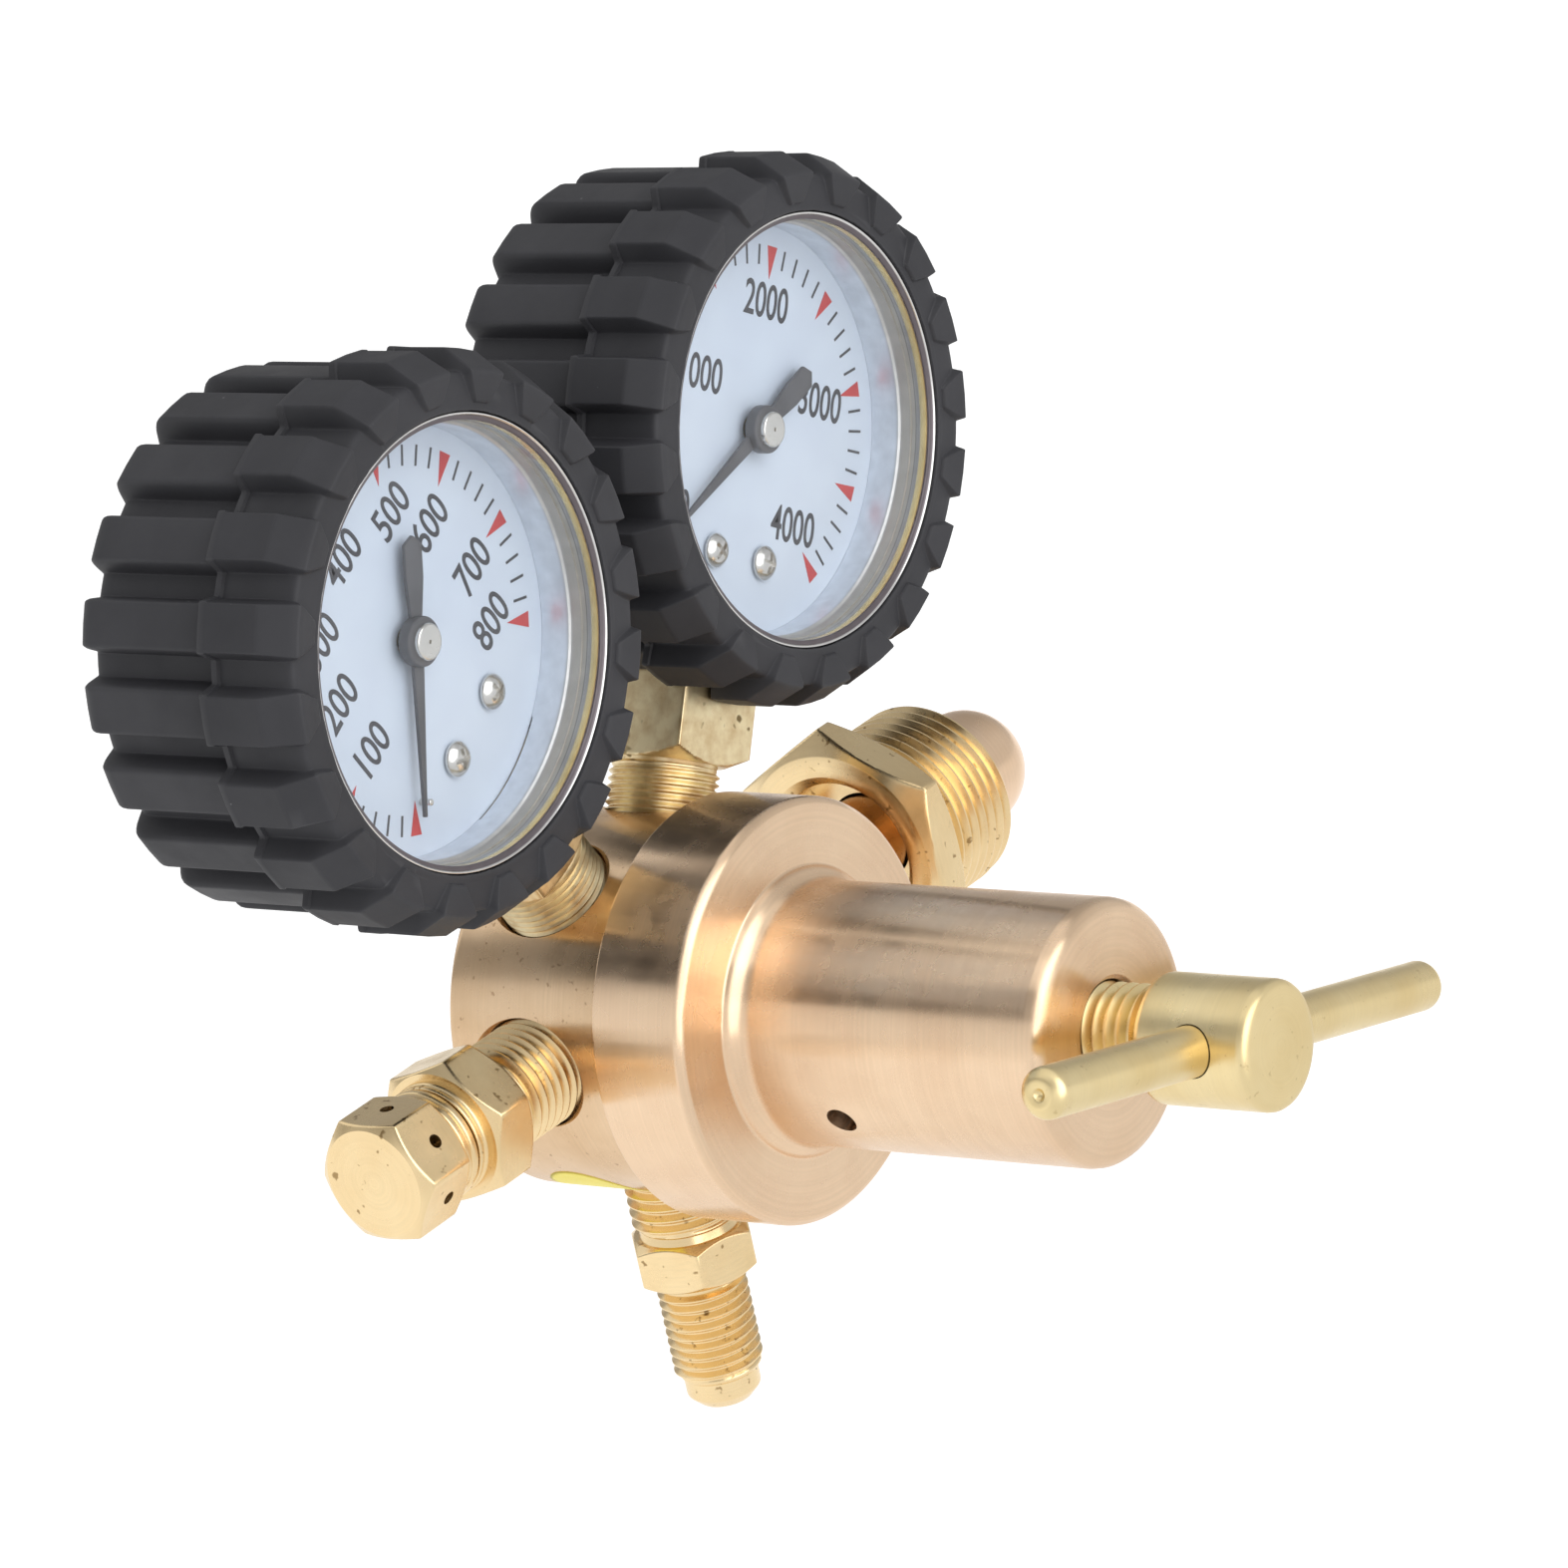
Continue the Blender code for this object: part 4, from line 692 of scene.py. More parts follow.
relief = {"flats": 16.2, "turn": math.radians(108), "hexLow": 32.5, "hexHigh": 39.5, "collar": 7.0,
          "collarHigh": 41.3, "neck": 4.9, "neckHigh": 46.1, "chamber": 4.1, "seat": 36.0, "bore": 1.8,
          "runout": 1.6, "threadRing": 0.35}
cap = {"low": 41.6, "collar": 43.9, "flats": 14.3, "high": 52.6, "step": 46.4, "roof": 50.6,
       "neckClear": 0.3}
capVents = {"count": 6, "radius": 0.85, "height": 47.6, "from": 3.2, "to": 8}


def reliefSections(flats, hexLow, hexHigh, collar, collarHigh, neck, neckHigh, chamber, seat, bore, runout,
                   threadRing, **turn):
    ring = pipe["crest"] - threadRing
    return fittingSections(
        bore, hexLow - runout, [(ring, hexLow - 1.1, 0.2), (ring, hexLow)]
        + flatRun(hexLow, hexHigh, flats, slope=0.7)
        + [(collar, hexHigh), (collar, hexHigh + 0.7, 0.25), (collar - 0.45, hexHigh + 0.95, 0.1),
           (collar - 0.1, hexHigh + 1.2, 0.1), (collar - 0.1, collarHigh, 0.3), (neck, collarHigh),
           (neck, neckHigh), (chamber, neckHigh), (chamber, seat), (bore, seat), (bore, pipe["start"])])


def capSections(low, collar, flats, high, step, roof, neckClear):
    outer, inner, chamber = relief["collar"], relief["neck"] + neckClear, relief["chamber"]
    return [[(inner, low), (outer - 0.1, low, 0.3), (outer - 0.1, low + 0.9, 0.2),
             (outer - 0.5, low + 1.15, 0.1), (outer - 0.15, low + 1.4, 0.1),
             (outer - 0.15, collar - 0.2, 0.2), (flats / 2 * 0.93, collar)]
            + flatRun(collar, high, flats, lowEdge=0.95, highEdge=0.93, slope=0.7) + [(0, high)],
            [(0, roof), (chamber, roof), (chamber, step), (inner, step), (inner, low)]]


reliefPiece = hexPiece("relief_body_turned", reliefSections(**relief), "relief", relief)
dress(reliefPiece, metals["stockBrass"], "brass", "relief_body")

capPiece = hexPiece("relief_cap_turned", capSections(**cap), "relief", cap)
ventCutters = []
for i in range(capVents["count"]):
    out = (portFrame("relief") @ Matrix.Translation((0, 0, capVents["height"] * mm))
           @ Matrix.Rotation(tau * i / capVents["count"], 4, "Z") @ Matrix.Rotation(math.radians(90), 4, "Y"))
    ventCutters.append(cutterRod(capVents["radius"], capVents["from"], capVents["to"], out, count=28))
carve(capPiece, ventCutters)
dress(capPiece, metals["stockBrass"], "brass", "relief_cap")
print("relief valve done")

# outlet fitting

outlet = {"flats": 14, "hexLow": 30, "hexHigh": 35.9, "turn": math.radians(138.75), "runout": 0.9,
          "neck": 4.6, "crest": 5.55, "depth": 0.72, "pitch": 1.27, "threadLow": 36.9, "threadHigh": 49.3,
          "tip": 52.9, "cone": 1.4, "bore": 2.2, "mouthEdge": 0.3}


def outletSections(flats, hexLow, hexHigh, runout, neck, crest, depth, pitch, threadLow, threadHigh, tip,
                   cone, bore, mouthEdge, **turn):
    thread = dict(low=threadLow, high=threadHigh - 0.2, crest=crest, depth=depth, pitch=pitch,
                  fadeLow=0.5, fadeHigh=0.9)
    hexagon = flatRun(hexLow, hexHigh, flats, slope=0.7)
    profile = [(pipe["crest"] - 0.5, hexLow)] + hexagon + [(neck + 0.2, hexHigh), threadEnd(thread, "low")]
    flare = [threadEnd(thread, "high"), (neck, threadHigh), (neck, tip - cone, 0.35), (neck - cone, tip, 0.15),
             (bore + mouthEdge, tip), (bore, tip - mouthEdge), (bore, pipe["start"])]
    return fittingSections(bore, hexLow - runout, profile) + [thread, flare]


outletPiece = hexPiece("outlet_fitting_turned", outletSections(**outlet), "outlet", outlet)
dress(outletPiece, metals["stockBrass"], "brass", "outlet_fitting")
print("outlet done")

# gauges, with heights measured from the case's rim, towards the front

gauge = {"distance": 69.0, "rimForward": 15.85, "case": 26.0, "wall": 0.9, "depth": 27.5, "crystal": 25.0,
         "crystalFront": -1.1, "crystalRear": -2.9, "dial": 24.7, "dialFront": -8.65, "dialRear": -9.25,
         "zero": 225, "sweep": 270, "stemSquare": 14.3, "squareLow": 28.5, "squareHigh": 43.6}
marks = {"outer": 22.15, "tickInner": 19.75, "wedgeTip": 18.2, "wedgeHalf": 0.95, "tickHalf": 0.16,
         "lift": 0.05, "bolder": 0.05, "textSize": 6.0, "narrow": 0.74, "divisions": 8, "between": 5}
dialTexts = {
    "high": [("0", 0, 16.4), ("1000", 1000 / 4000, 12.3), ("2000", 0.5, 15.3), ("3000", 3000 / 4000, 14.0),
             ("4000", 1.0, 14.6)],
    "low": [("100", 0.115, 13.7), ("200", 0.24, 13.5), ("300", 0.353, 15.0), ("400", 0.5, 14.6),
            ("500", 0.645, 14.8), ("600", 0.75, 13.7), ("700", 0.892, 14.3), ("800", 0.994, 15.4)],
}


def onDial(share, radius):
    # a place on the dial, by share of the scale
    angle = math.radians(90 - gauge["zero"] - gauge["sweep"] * share)
    return Vector((radius * math.cos(angle), radius * math.sin(angle), 0)) * mm


def thinPrism(work, outline, low, high, material):
    lower = [work.verts.new((p.x, p.y, low)) for p in outline]
    upper = [work.verts.new((p.x, p.y, high)) for p in outline]
    faces = [work.faces.new(lower[::-1]), work.faces.new(upper)]
    for i in range(len(outline)):
        k = (i + 1) % len(outline)
        faces.append(work.faces.new((lower[i], lower[k], upper[k], upper[i])))
    for face in faces:
        face.material_index = material


def addText(work, words, middle, low):
    curve = bpy.data.curves.new("dial_number", "FONT")
    curve.body = words
    curve.size = marks["textSize"] * mm
    curve.extrude = marks["lift"] / 2 * mm
    curve.offset = marks["bolder"] * mm
    curve.align_x = "CENTER"
    curve.align_y = "CENTER"
    curve.resolution_u = 6
    text = bpy.data.objects.new("dial_number", curve)
    bpy.context.scene.collection.objects.link(text)
    bpy.context.view_layer.update()
    mesh = bpy.data.meshes.new_from_object(text.evaluated_get(bpy.context.evaluated_depsgraph_get()))
    mesh.transform(Matrix.Translation((middle.x, middle.y, low + marks["lift"] / 2 * mm))
                   @ Matrix.Diagonal((marks["narrow"], 1, 1, 1)))
    work.from_mesh(mesh)
    bpy.data.objects.remove(text, do_unlink=True)


def dialMarks(name):
    work = bmesh.new()
    low = gauge["dialFront"] * mm
    for words, share, radius in dialTexts[name]:
        addText(work, words, onDial(share, radius), low)
    total = marks["divisions"] * marks["between"]
    for i in range(total + 1):
        share = i / total
        outer, along = onDial(share, marks["outer"]), onDial(share, 1).normalized()
        side = Vector((-along.y, along.x, 0))
        isWedge = i % marks["between"] == 0
        half = side * marks["wedgeHalf" if isWedge else "tickHalf"] * mm
        if isWedge:
            outline = [onDial(share, marks["wedgeTip"]), outer - half, outer + half]
        else:
            inner = onDial(share, marks["tickInner"])
            outline = [inner - half, outer - half, outer + half, inner + half]
        thinPrism(work, outline, low, low + marks["lift"] * mm, int(isWedge))
    bmesh.ops.recalc_face_normals(work, faces=work.faces)
    mesh = bpy.data.meshes.new(name + "_dial_marks")
    work.to_mesh(mesh)
    work.free()
    return mesh


boot = {"lobes": 20, "slot": 15.5, "slotBevel": 1.2, "slotLow": -40, "slotHigh": -20,
        "crease": 0.012, "crown": 0.03, "crownFrom": -11.25,
        # valley radius, valley height, rib radius, rib height, half the rib's top and foot
        "rows": [
            (12.0, -28.1, 12.0, -28.1, 0.25, 0.33), (26.3, -27.8, 26.3, -27.8, 0.25, 0.33),
            (26.3, -0.6, 26.3, -0.6, 0.1, 0.14), (26.3, -0.2, 26.3, -0.2, 0.1, 0.14),
            (26.08, -0.12, 26.08, -0.12, 0.1, 0.14), (26.06, 0.1, 26.06, 0.1, 0.1, 0.14),
            (26.12, 0.24, 26.12, 0.24, 0.1, 0.14), (26.35, 0.3, 26.35, 0.3, 0.1, 0.14),
            (26.8, 0.26, 26.8, 0.26, 0.1, 0.14), (26.95, 0.25, 26.95, 0.30, 0.11, 0.15),
            (27.05, 0.25, 27.08, 0.62, 0.125, 0.165), (27.25, 0.25, 27.3, 0.76, 0.145, 0.185),
            (28.2, 0.25, 28.4, 0.92, 0.21, 0.25), (29.2, 0.24, 29.6, 1.11, 0.27, 0.305),
            (29.75, 0.2, 30.35, 1.23, 0.295, 0.332), (30.05, 0.1, 30.56, 1.2, 0.30, 0.337),
            (30.25, -0.08, 30.75, 1.02, 0.30, 0.34), (30.37, -0.35, 31.3, 0.08, 0.29, 0.342),
            (30.43, -0.8, 32.0, -1.1, 0.278, 0.345), (30.45, -1.4, 32.65, -2.2, 0.268, 0.345),
            (30.45, -2.0, 32.9, -2.6, 0.266, 0.345), (30.45, -2.6, 33.06, -2.9, 0.265, 0.345),
            (30.45, -3.3, 33.1, -3.3, 0.265, 0.345), (30.45, -10.1, 33.08, -10.1, 0.265, 0.345),
            (30.85, -10.3, 33.17, -10.3, 0.28, 0.36), (30.9, -11.0, 33.17, -11.0, 0.28, 0.36),
            (30.7, -11.2, 33.05, -11.2, 0.28, 0.36), (28.5, -11.3, 31.3, -11.3, 0.285, 0.345),
            (28.5, -12.0, 31.3, -12.0, 0.285, 0.345), (28.5, -28.3, 31.3, -28.3, 0.285, 0.345),
            (28.42, -29.1, 31.2, -29.0, 0.283, 0.345), (28.2, -29.8, 30.9, -29.65, 0.28, 0.345),
            (27.8, -30.35, 30.42, -30.22, 0.275, 0.343), (27.25, -30.75, 29.8, -30.65, 0.265, 0.34),
            (26.6, -30.95, 29.05, -30.92, 0.255, 0.335), (25.8, -31.0, 28.2, -31.0, 0.24, 0.33),
            (24.5, -31.0, 26.8, -31.0, 0.2, 0.32), (12.7, -31.0, 12.7, -31.0, 0.16, 0.3),
            (12.2, -30.8, 12.2, -30.8, 0.16, 0.3), (12.0, -30.3, 12.0, -30.3, 0.16, 0.3),
            (12.0, -28.1, 12.0, -28.1, 0.25, 0.33)]}


def ribSection(top, foot, crown, crease):
    # half a rib and half a valley, from the rib's middle, with a rounded crown and a fine crease
    near = np.array((-2, -1, -0.4, 0.4, 1, 2))
    share = [[0], top + near * crown, [(top + foot) / 2], foot + near * crease, [0.5]]
    share = np.sort(np.concatenate(share))
    line = (foot - share) / (foot - top)
    weight = softMin(line, np.ones(len(line)), crown / (foot - top))
    weight = -softMin(-weight, np.zeros(len(line)), crease / (foot - top))
    weight[0], weight[-1] = 1, 0
    return share, weight


def bootMesh():
    spacing = tau / boot["lobes"]
    rows = []
    for valleyRadius, valleyHeight, ribRadius, ribHeight, top, foot in boot["rows"]:
        crease = min(boot["crease"], top / 2.5, (foot - top) / 4.5)
        crown = boot["crown"] if valleyHeight < boot["crownFrom"] and ribRadius > 20 else crease
        half, weight = ribSection(top, foot, crown, crease)
        share = np.concatenate([-half[:0:-1], half[:-1]])
        weight = np.concatenate([weight[:0:-1], weight[:-1]])
        angles = np.concatenate([math.pi / 2 + spacing * (k + share) for k in range(boot["lobes"])])
        weights = np.tile(weight, boot["lobes"])
        radius = valleyRadius + (ribRadius - valleyRadius) * weights
        height = valleyHeight + (ribHeight - valleyHeight) * weights
        rows.append(np.stack([radius * np.cos(angles), radius * np.sin(angles), height], -1))
    work = bmesh.new()
    addRows(work, np.array(rows))
    mesh = finishMesh(work, "boot", sharp=38)
    piece = addPiece("boot_blank", mesh, Matrix.Identity(4))
    half, middle = boot["slot"] / 2, -gauge["rimForward"]
    carve(piece, [cutterBox((-half, boot["slotLow"], middle - half), (half, boot["slotHigh"], middle + half),
                            boot["slotBevel"])], sharp=38)
    return takeMesh(piece)


# radius and height of the case's inner steps, from behind the dial to the rolled rim
caseSteps = [(24.75, -9.4, 0.05), (24.75, -8.61), (24.58, -8.61), (24.62, -4.75, 0.1), (24.95, -4.55, 0.1),
             (24.95, -3.1), (25.1, -3.05), (25.1, -0.8), (25.0, -0.65, 0.1), (25.05, -0.4, 0.1),
             (25.5, -0.28, 0.1), (25.68, -0.06, 0.08), (25.8, 0.0, 0.08), (25.95, -0.08, 0.08)]
caseSlot = {"clear": 0.3, "low": -32, "high": -18}


def caseMesh():
    outer, inner, rear = gauge["case"], gauge["case"] - gauge["wall"], -gauge["depth"]
    profile = [(0, rear + gauge["wall"]), (inner, rear + gauge["wall"], 1.2), (inner, caseSteps[0][1])]
    profile += caseSteps + [(outer, -0.4, 0.2), (outer, rear, 1.6), (0, rear)]
    piece = addPiece("case_blank", turnedMesh("case", [profile], angles=evenAngles(160)), Matrix.Identity(4))
    half, middle = gauge["stemSquare"] / 2 + caseSlot["clear"], -gauge["rimForward"]
    carve(piece, [cutterBox((-half, caseSlot["low"], middle - half),
                            (half, caseSlot["high"], middle + half))])
    return takeMesh(piece)


dialScrew = {"circle": 16.2, "spread": 17.5, "seat": 0.3, "head": 2.1, "height": 1.15, "shank": 0.85,
             "length": 4.6, "slot": 0.27, "slotReach": 1.25, "slotDepth": 0.6}


def dialScrewMesh():
    seat = dialScrew["seat"]
    profile = [(0, -dialScrew["length"]), (dialScrew["shank"], -dialScrew["length"], 0.2),
               (dialScrew["shank"], seat), (dialScrew["head"], seat, 0.12),
               (dialScrew["head"], seat + 0.35, 0.35), (1.5, seat + 0.95, 0.5),
               (0.7, seat + dialScrew["height"], 0.3), (0, seat + dialScrew["height"])]
    piece = turnedPiece("screw_blank", [profile], Matrix.Identity(4), angles=evenAngles(48))
    reach, half = dialScrew["slotReach"], dialScrew["slot"]
    top = seat + dialScrew["height"]
    floor = top - dialScrew["slotDepth"]
    carve(piece, [cutterBox((-x, -y, floor), (x, y, top + 1)) for x, y in ((reach, half), (half, reach))])
    return takeMesh(piece)


pointer = {"tip": 20, "tail": 12, "tipHalf": 0.2, "waist": 0.9, "waistHigh": 2.0, "waistLow": -2.4,
           "tailHalf": 1.5, "tailFrom": -7.2, "point": 1.0, "stand": 1.2, "thick": 0.5, "bevel": 0.09,
           "arbor": 0.9, "hub": 2.9, "hubHeight": 1.5, "cap": 2.15, "capHeight": 2.3, "capDimple": 0.22}


def pointerMesh():
    work = bmesh.new()
    low = gauge["dialFront"] + pointer["stand"]
    half = [(pointer["tipHalf"], pointer["tip"]), (pointer["waist"], pointer["waistHigh"]),
            (pointer["waist"], pointer["waistLow"]), (pointer["tailHalf"], pointer["tailFrom"]),
            (pointer["tailHalf"], pointer["point"] - pointer["tail"])]
    outline = half + [(0, -pointer["tail"])] + [(-x, y) for x, y in reversed(half)]
    thinPrism(work, [Vector((x, y, 0)) * mm for x, y in outline], low * mm, (low + pointer["thick"]) * mm, 0)
    bmesh.ops.bevel(work, geom=work.edges, offset=pointer["bevel"] * mm, segments=2, profile=0.5,
                    affect="EDGES")
    hub = [(pointer["arbor"], low - 0.4), (pointer["hub"] - 0.5, low - 0.4), (pointer["hub"], low, 0.1),
           (pointer["hub"], low + pointer["hubHeight"], 0.35), (1.2, low + pointer["hubHeight"]),
           (pointer["arbor"], low - 0.4)]
    rows = [[(r * math.cos(a), r * math.sin(a), z) for a in evenAngles(64)] for r, z in soften(hub)]
    addRows(work, np.array(rows))
    return finishMesh(work, "pointer", 40)


def pointerCapMesh():
    low = gauge["dialFront"] + pointer["stand"]
    top = low + pointer["capHeight"]
    dimple = pointer["capDimple"]
    profile = [(0, top - 0.5), (dimple, top - 0.5), (dimple, top, 0.05), (pointer["cap"], top, 0.35),
               (pointer["cap"], top - 1.2), (1.15, top - 1.2), (1.15, top - 0.7), (0, top - 0.7)]
    return turnedMesh("pointer_cap", [profile], angles=evenAngles(64))


# the stem's own thread is finer, and its inner block reaches into the case
stem = {"runout": 0.4, "pitch": 0.94, "depth": 0.5, "blockLow": (-6.65, -26.4, -20.85),
        "blockHigh": (6.65, -13.6, -9.55), "blockBevel": 0.3}


def stemPiece(name):
    side, turn = gauge["stemSquare"], math.radians(45)
    mesh = turnedMesh(name + "_stem", fittingSections(
        0, gauge["squareLow"] - stem["runout"],
        [(pipe["crest"] - 0.4, gauge["squareLow"])]
        + flatRun(gauge["squareLow"], gauge["squareHigh"], side, sides=4, lowEdge=1.0, highEdge=0, slope=0.5)
        + [(0, gauge["squareHigh"])],
        pitch=stem["pitch"], depth=stem["depth"]), angles=flatAngles(4, turn, 34), flats=(4, side, turn))
    piece = addPiece(name + "_stem_turned", mesh, portFrame(name))
    inner = boxMesh("inner", stem["blockLow"], stem["blockHigh"], stem["blockBevel"])
    inner.transform(portFrame(name).inverted() @ gaugeFrame(name))
    work = bmesh.new()
    work.from_mesh(mesh)
    work.from_mesh(inner)
    work.to_mesh(mesh)
    work.free()
    return piece


dialPlate = {"hole": 1.7, "edge": 0.04, "holeEdge": 0.1}
stopPin = {"circle": 18.5, "past": 3.6, "radius": 0.4, "low": -0.3, "high": 1.6}


def buildGauge(name, shared):
    place, upright, side = gaugeFrame(name), uprightFrame(name), name + "_"
    turned = upright.inverted() @ place

    def level(mesh):
        mesh = mesh.copy()
        mesh.transform(turned)
        return mesh

    def onFace(radius, angle):
        # a spot on the dial's face, angle counted from the gauge's right
        return Matrix.Translation((radius * mm * math.cos(angle), radius * mm * math.sin(angle),
                                   gauge["dialFront"] * mm))

    def add(kind, mesh, where, material, slot, *nodes, **owner):
        nodes = [side + node for node in nodes]
        return dress(addPiece(side + kind, mesh, where), material, slot, *nodes, **owner)

    dress(stemPiece(name), metals["sawnBrass"], "brass", side + "stem")
    add("case_rolled", level(shared["case"]), upright, caseSteel, "case_steel", "case")
    add("boot_moulded", level(shared["boot"]), upright, bootRubber, "boot_rubber", "boot")
    rear, front, edge = gauge["crystalRear"], gauge["crystalFront"], gauge["crystal"]
    pane = turnedMesh(side + "crystal_pane", [[(0, rear), (edge, rear, 0.1), (edge, front, 0.3), (0, front)]])
    add("crystal_pane", pane, upright, crystalClear, "crystal", "crystal")
    rear, front, hole = gauge["dialRear"], gauge["dialFront"], dialPlate["hole"]
    plate = turnedMesh(side + "dial_plate", [[
        (hole, rear), (gauge["dial"], rear), (gauge["dial"], front, dialPlate["edge"]),
        (hole, front, dialPlate["holeEdge"]), (hole, rear)]])
    add("dial_plate", plate, upright, plains["dialPaint"], "dial_paint", "dial")
    printed = add("dial_marks", dialMarks(name), place, plains["greyInk"], "dial_paint")
    printed.data.materials.append(plains["redInk"])
    pin = turnedMesh(side + "stop_pin", [[(0, stopPin["low"]), (stopPin["radius"], stopPin["low"]),
                                          (stopPin["radius"], stopPin["high"], 0.2), (0, stopPin["high"])]],
                     angles=evenAngles(20))
    stop = math.radians(90 - gauge["zero"] + stopPin["past"])
    add("stop_pin", pin, place @ onFace(stopPin["circle"], stop), metals["nickel"], "screw_nickel")
    for number, way in ((1, -1), (2, 1)):
        spot = onFace(dialScrew["circle"], math.radians(-90 + way * dialScrew["spread"]))
        add("dial_screw_%d_cross" % number, shared["screw"].copy(),
            place @ spot @ Matrix.Rotation(math.radians(25 + 30 * number), 4, "Z"), metals["nickel"],
            "screw_nickel", "dial_screw_%d" % number)
    hand = place @ Matrix.Rotation(math.radians(-gauge["zero"]), 4, "Z")
    add("pointer_blade", shared["pointer"].copy(), hand, plains["pointerPaint"], "pointer_paint", "pointer",
        body=side + "pointer")
    add("pointer_cap", shared["cap"].copy(), hand, metals["nickel"], "screw_nickel", body=side + "pointer")
    print(name, "gauge done")


sharedMeshes = {"boot": bootMesh(), "case": caseMesh(), "screw": dialScrewMesh(), "pointer": pointerMesh(),
                "cap": pointerCapMesh()}
for gaugeName in ("high", "low"):
    buildGauge(gaugeName, sharedMeshes)

# blank oval sticker on the underside of the body

sticker = {"along": -2.2, "angle": -151, "halfAlong": 6.0, "halfRound": 19.0, "lift": 0.06, "sunk": 0.05}


def stickerPiece():
    work = bmesh.new()
    rings, count = 10, 48
    for r in (body["radius"] + sticker["lift"], body["radius"] - sticker["sunk"]):
        rows = []
        for j in range(rings + 1):
            share = max(j / rings, 0.0001)
            row = []
            for a in evenAngles(count):
                turn = math.radians(sticker["angle"] + sticker["halfRound"] * share * math.cos(a))
                y = -sticker["along"] - sticker["halfAlong"] * share * math.sin(a)
                row.append((r * math.sin(turn), y, r * math.cos(turn)))
            rows.append(row)
        addRows(work, np.array(rows))
    bmesh.ops.remove_doubles(work, verts=work.verts, dist=weld)
    rims = [edge for edge in work.edges if edge.is_boundary]
    bmesh.ops.bridge_loops(work, edges=rims)
    return addPiece("body_sticker", finishMesh(work, "body_sticker"), bodyFrame)


dress(stickerPiece(), plains["stickerPaper"], "dial_paint")

# inner pieces keep their solids and get a finish

innerFinishes = {
    "diaphragm": plains["diaphragmRubber"], "slip_ring": plains["seatNylon"], "poppet": plains["seatNylon"],
    "relief_poppet": plains["seatNylon"], "diaphragm_plate": metals["plainSteel"],
    "spring_button": metals["plainSteel"], "valve_pin": metals["plainSteel"],
    "valve_seat": metals["stockBrass"],
    "range_spring": metals["springSteel"], "poppet_spring": metals["springSteel"],
    "relief_spring": metals["springSteel"], "inlet_filter": metals["sinteredBronze"],
}
for side in ("high_", "low_"):
    for kind in ("bourdon", "movement", "sector", "pinion", "link"):
        innerFinishes[side + kind] = metals["paleBrass"]
for nodeName, finish in innerFinishes.items():
    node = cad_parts[nodeName]
    for slot in node.material_slots:
        slot.material = finish
print("inner pieces finished")

# floor, light and camera

studio = {"floorHeight": -75, "floorRadius": 6000, "floorThick": 5,
          "floorColors": ((0.30, 0.30, 0.30), (0.32, 0.32, 0.32)),
          # glow at the front and at the back of the floor, where it changes, and as the camera sees it
          "floorGlow": (0.54, 0.80), "glowFromTo": (-0.12, 0.02), "floorSeen": 0.90,
          "tilt": 19.2,        # the whole regulator leans this much in the picture
          "azimuth": -53.574, "elevation": 4.015, "distance": 878.457, "target": (8.196, -15.480, 25.852),
          "lens": 169.8}
leaning = Matrix.Rotation(math.radians(studio["tilt"]), 4, "Y")

floorProfile = [(0, -studio["floorThick"]), (studio["floorRadius"], -studio["floorThick"]),
                (studio["floorRadius"], 0), (0, 0)]
floorPiece = turnedPiece("floor", [floorProfile],
                         Matrix.Translation((regulatorPlace["x"] * mm, 0, studio["floorHeight"] * mm)))
paper, paperTree, paperShader, paperWhere = newMaterial("floorPaper", Metallic=0.0, Roughness=0.9,
                                                        Emission_Color=(1, 1, 1, 1))
paperDepth = addNode(paperTree, "ShaderNodeSeparateXYZ", paperWhere).outputs[1]
seen = addNode(paperTree, "ShaderNodeLightPath").outputs["Is Camera Ray"]
glow = addNode(paperTree, "ShaderNodeMix", seen, data_type="FLOAT")
feed(paperTree, glow.inputs[2], spread(paperTree, paperDepth, *studio["floorGlow"], *studio["glowFromTo"]))
feed(paperTree, glow.inputs[3], studio["floorSeen"])
paperStops = list(zip((0.3, 0.7), studio["floorColors"]))
paperTone = rampBetween(paperTree, noiseFrom(paperTree, paperWhere, 30), paperStops)
feedNamed(paperTree, paperShader, Emission_Strength=glow.outputs[0], Base_Color=paperTone)
floorPiece.data.materials.append(paper)

# brightness of the room by angle round the barrel: 0 below the camera side, 90 overhead
roomBands = [(-180, 0.38), (-160, 0.90), (-20, 1.0), (0, 0.84), (9, 0.74), (14, 0.44), (34, 0.37), (42, 0.95),
             (61, 1.1), (68, 0.85), (98, 0.90), (108, 0.44), (130, 0.37), (152, 0.46), (180, 0.38)]
roomPatch = {"toward": (0.77, -0.63, 0.05), "start": 0.55, "end": 0.9, "value": 0.66}


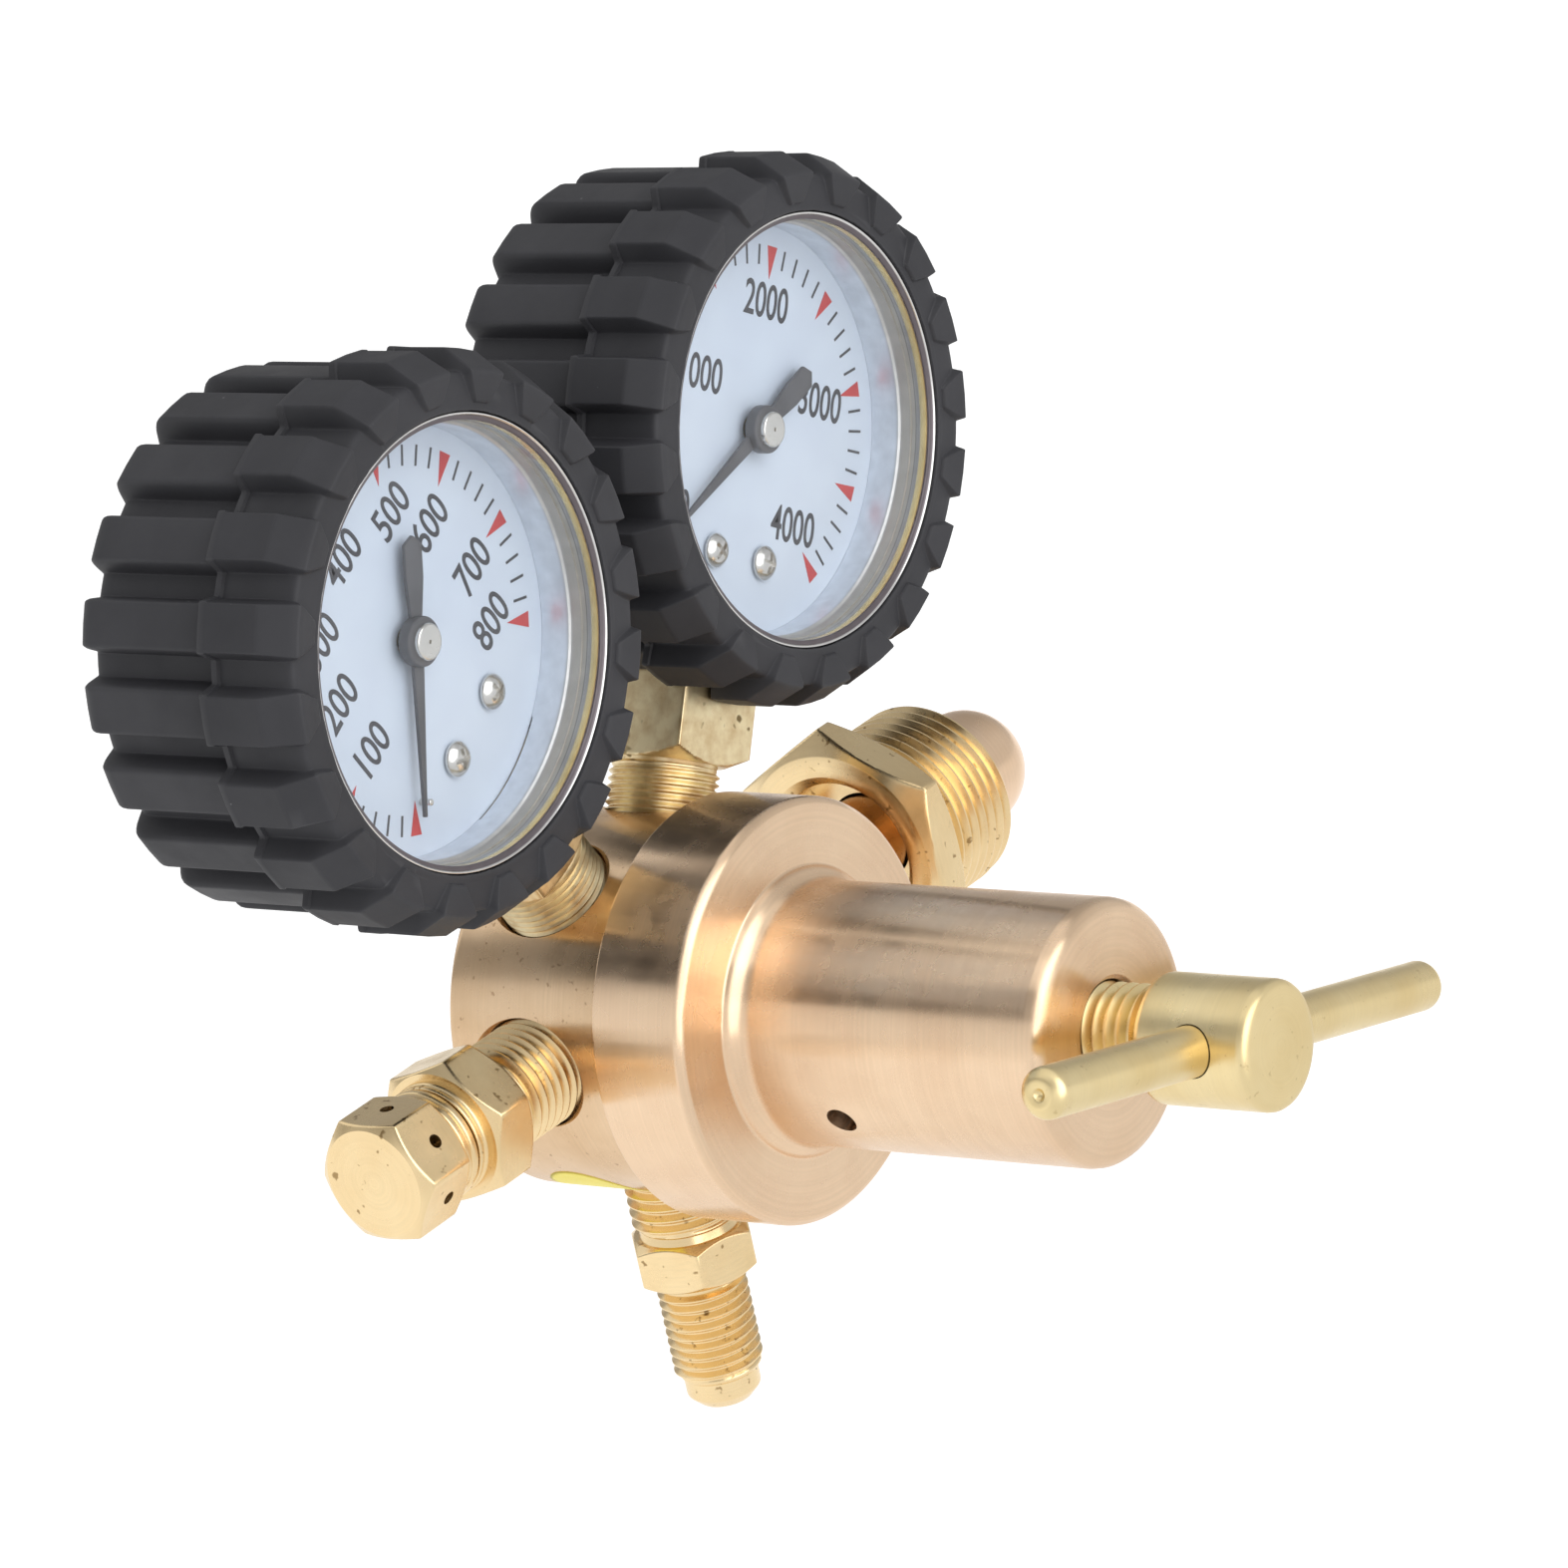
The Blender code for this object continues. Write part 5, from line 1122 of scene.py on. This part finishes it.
def makeRoom():
    world = bpy.data.worlds.new("studio_room")
    bpy.context.scene.world = world
    world.use_nodes = True
    tree = world.node_tree
    tree.nodes.clear()
    where = addNode(tree, "ShaderNodeTexCoord").outputs["Generated"]

    def along(direction):
        node = addNode(tree, "ShaderNodeVectorMath", where, direction, operation="DOT_PRODUCT")
        return node.outputs["Value"]

    up, side = leaning @ Vector((0, 0, 1)), leaning @ Vector((-1, 0, 0))
    angle = addNode(tree, "ShaderNodeMath", along(up), along(side), operation="ARCTAN2").outputs[0]
    share = spread(tree, angle, 0, 1, -math.pi, math.pi)
    bands = rampBetween(tree, share, [((a + 180) / 360, (v, v, v)) for a, v in roomBands])
    patch = spread(tree, along(roomPatch["toward"]), 0, 1, roomPatch["start"], roomPatch["end"])
    room = mixColor(tree, patch, bands, (roomPatch["value"],) * 3)
    seen = addNode(tree, "ShaderNodeLightPath").outputs["Is Camera Ray"]
    background = addNode(tree, "ShaderNodeBackground", mixColor(tree, seen, room, (0.99, 0.99, 0.99)))
    addNode(tree, "ShaderNodeOutputWorld", background.outputs[0])


makeRoom()

softbox = {"place": (-0.30, -1.30, 0.50), "target": (-0.08, 0, 0.04), "size": 1.9, "power": 15}
lamp = bpy.data.lights.new("front_softbox", "AREA")
lamp.shape, lamp.size, lamp.energy = "DISK", softbox["size"], softbox["power"]
lampHolder = bpy.data.objects.new("front_softbox", lamp)
bpy.context.scene.collection.objects.link(lampHolder)
lampHolder.location = softbox["place"]
aim = Vector(softbox["target"]) - Vector(softbox["place"])
lampHolder.rotation_euler = aim.to_track_quat("-Z", "Y").to_euler()

camera = bpy.data.objects.new("camera", bpy.data.cameras.new("camera"))
bpy.context.scene.collection.objects.link(camera)
a, e = math.radians(studio["azimuth"]), math.radians(studio["elevation"])
back = Vector((math.sin(a) * math.cos(e), -math.cos(a) * math.cos(e), math.sin(e)))
right = Vector((0, 0, 1)).cross(back).normalized()
turn = Matrix((right, back.cross(right), back)).transposed().to_4x4()
eye = (Vector(studio["target"]) + back * studio["distance"]) * mm
camera.matrix_world = bodyFrame @ leaning @ Matrix.Translation(eye) @ turn
camera.data.sensor_width = 36
camera.data.lens = studio["lens"]
camera.data.clip_start, camera.data.clip_end = 0.05, 20
bpy.context.scene.camera = camera
bpy.context.scene.view_settings.view_transform = "Standard"
print("studio set")
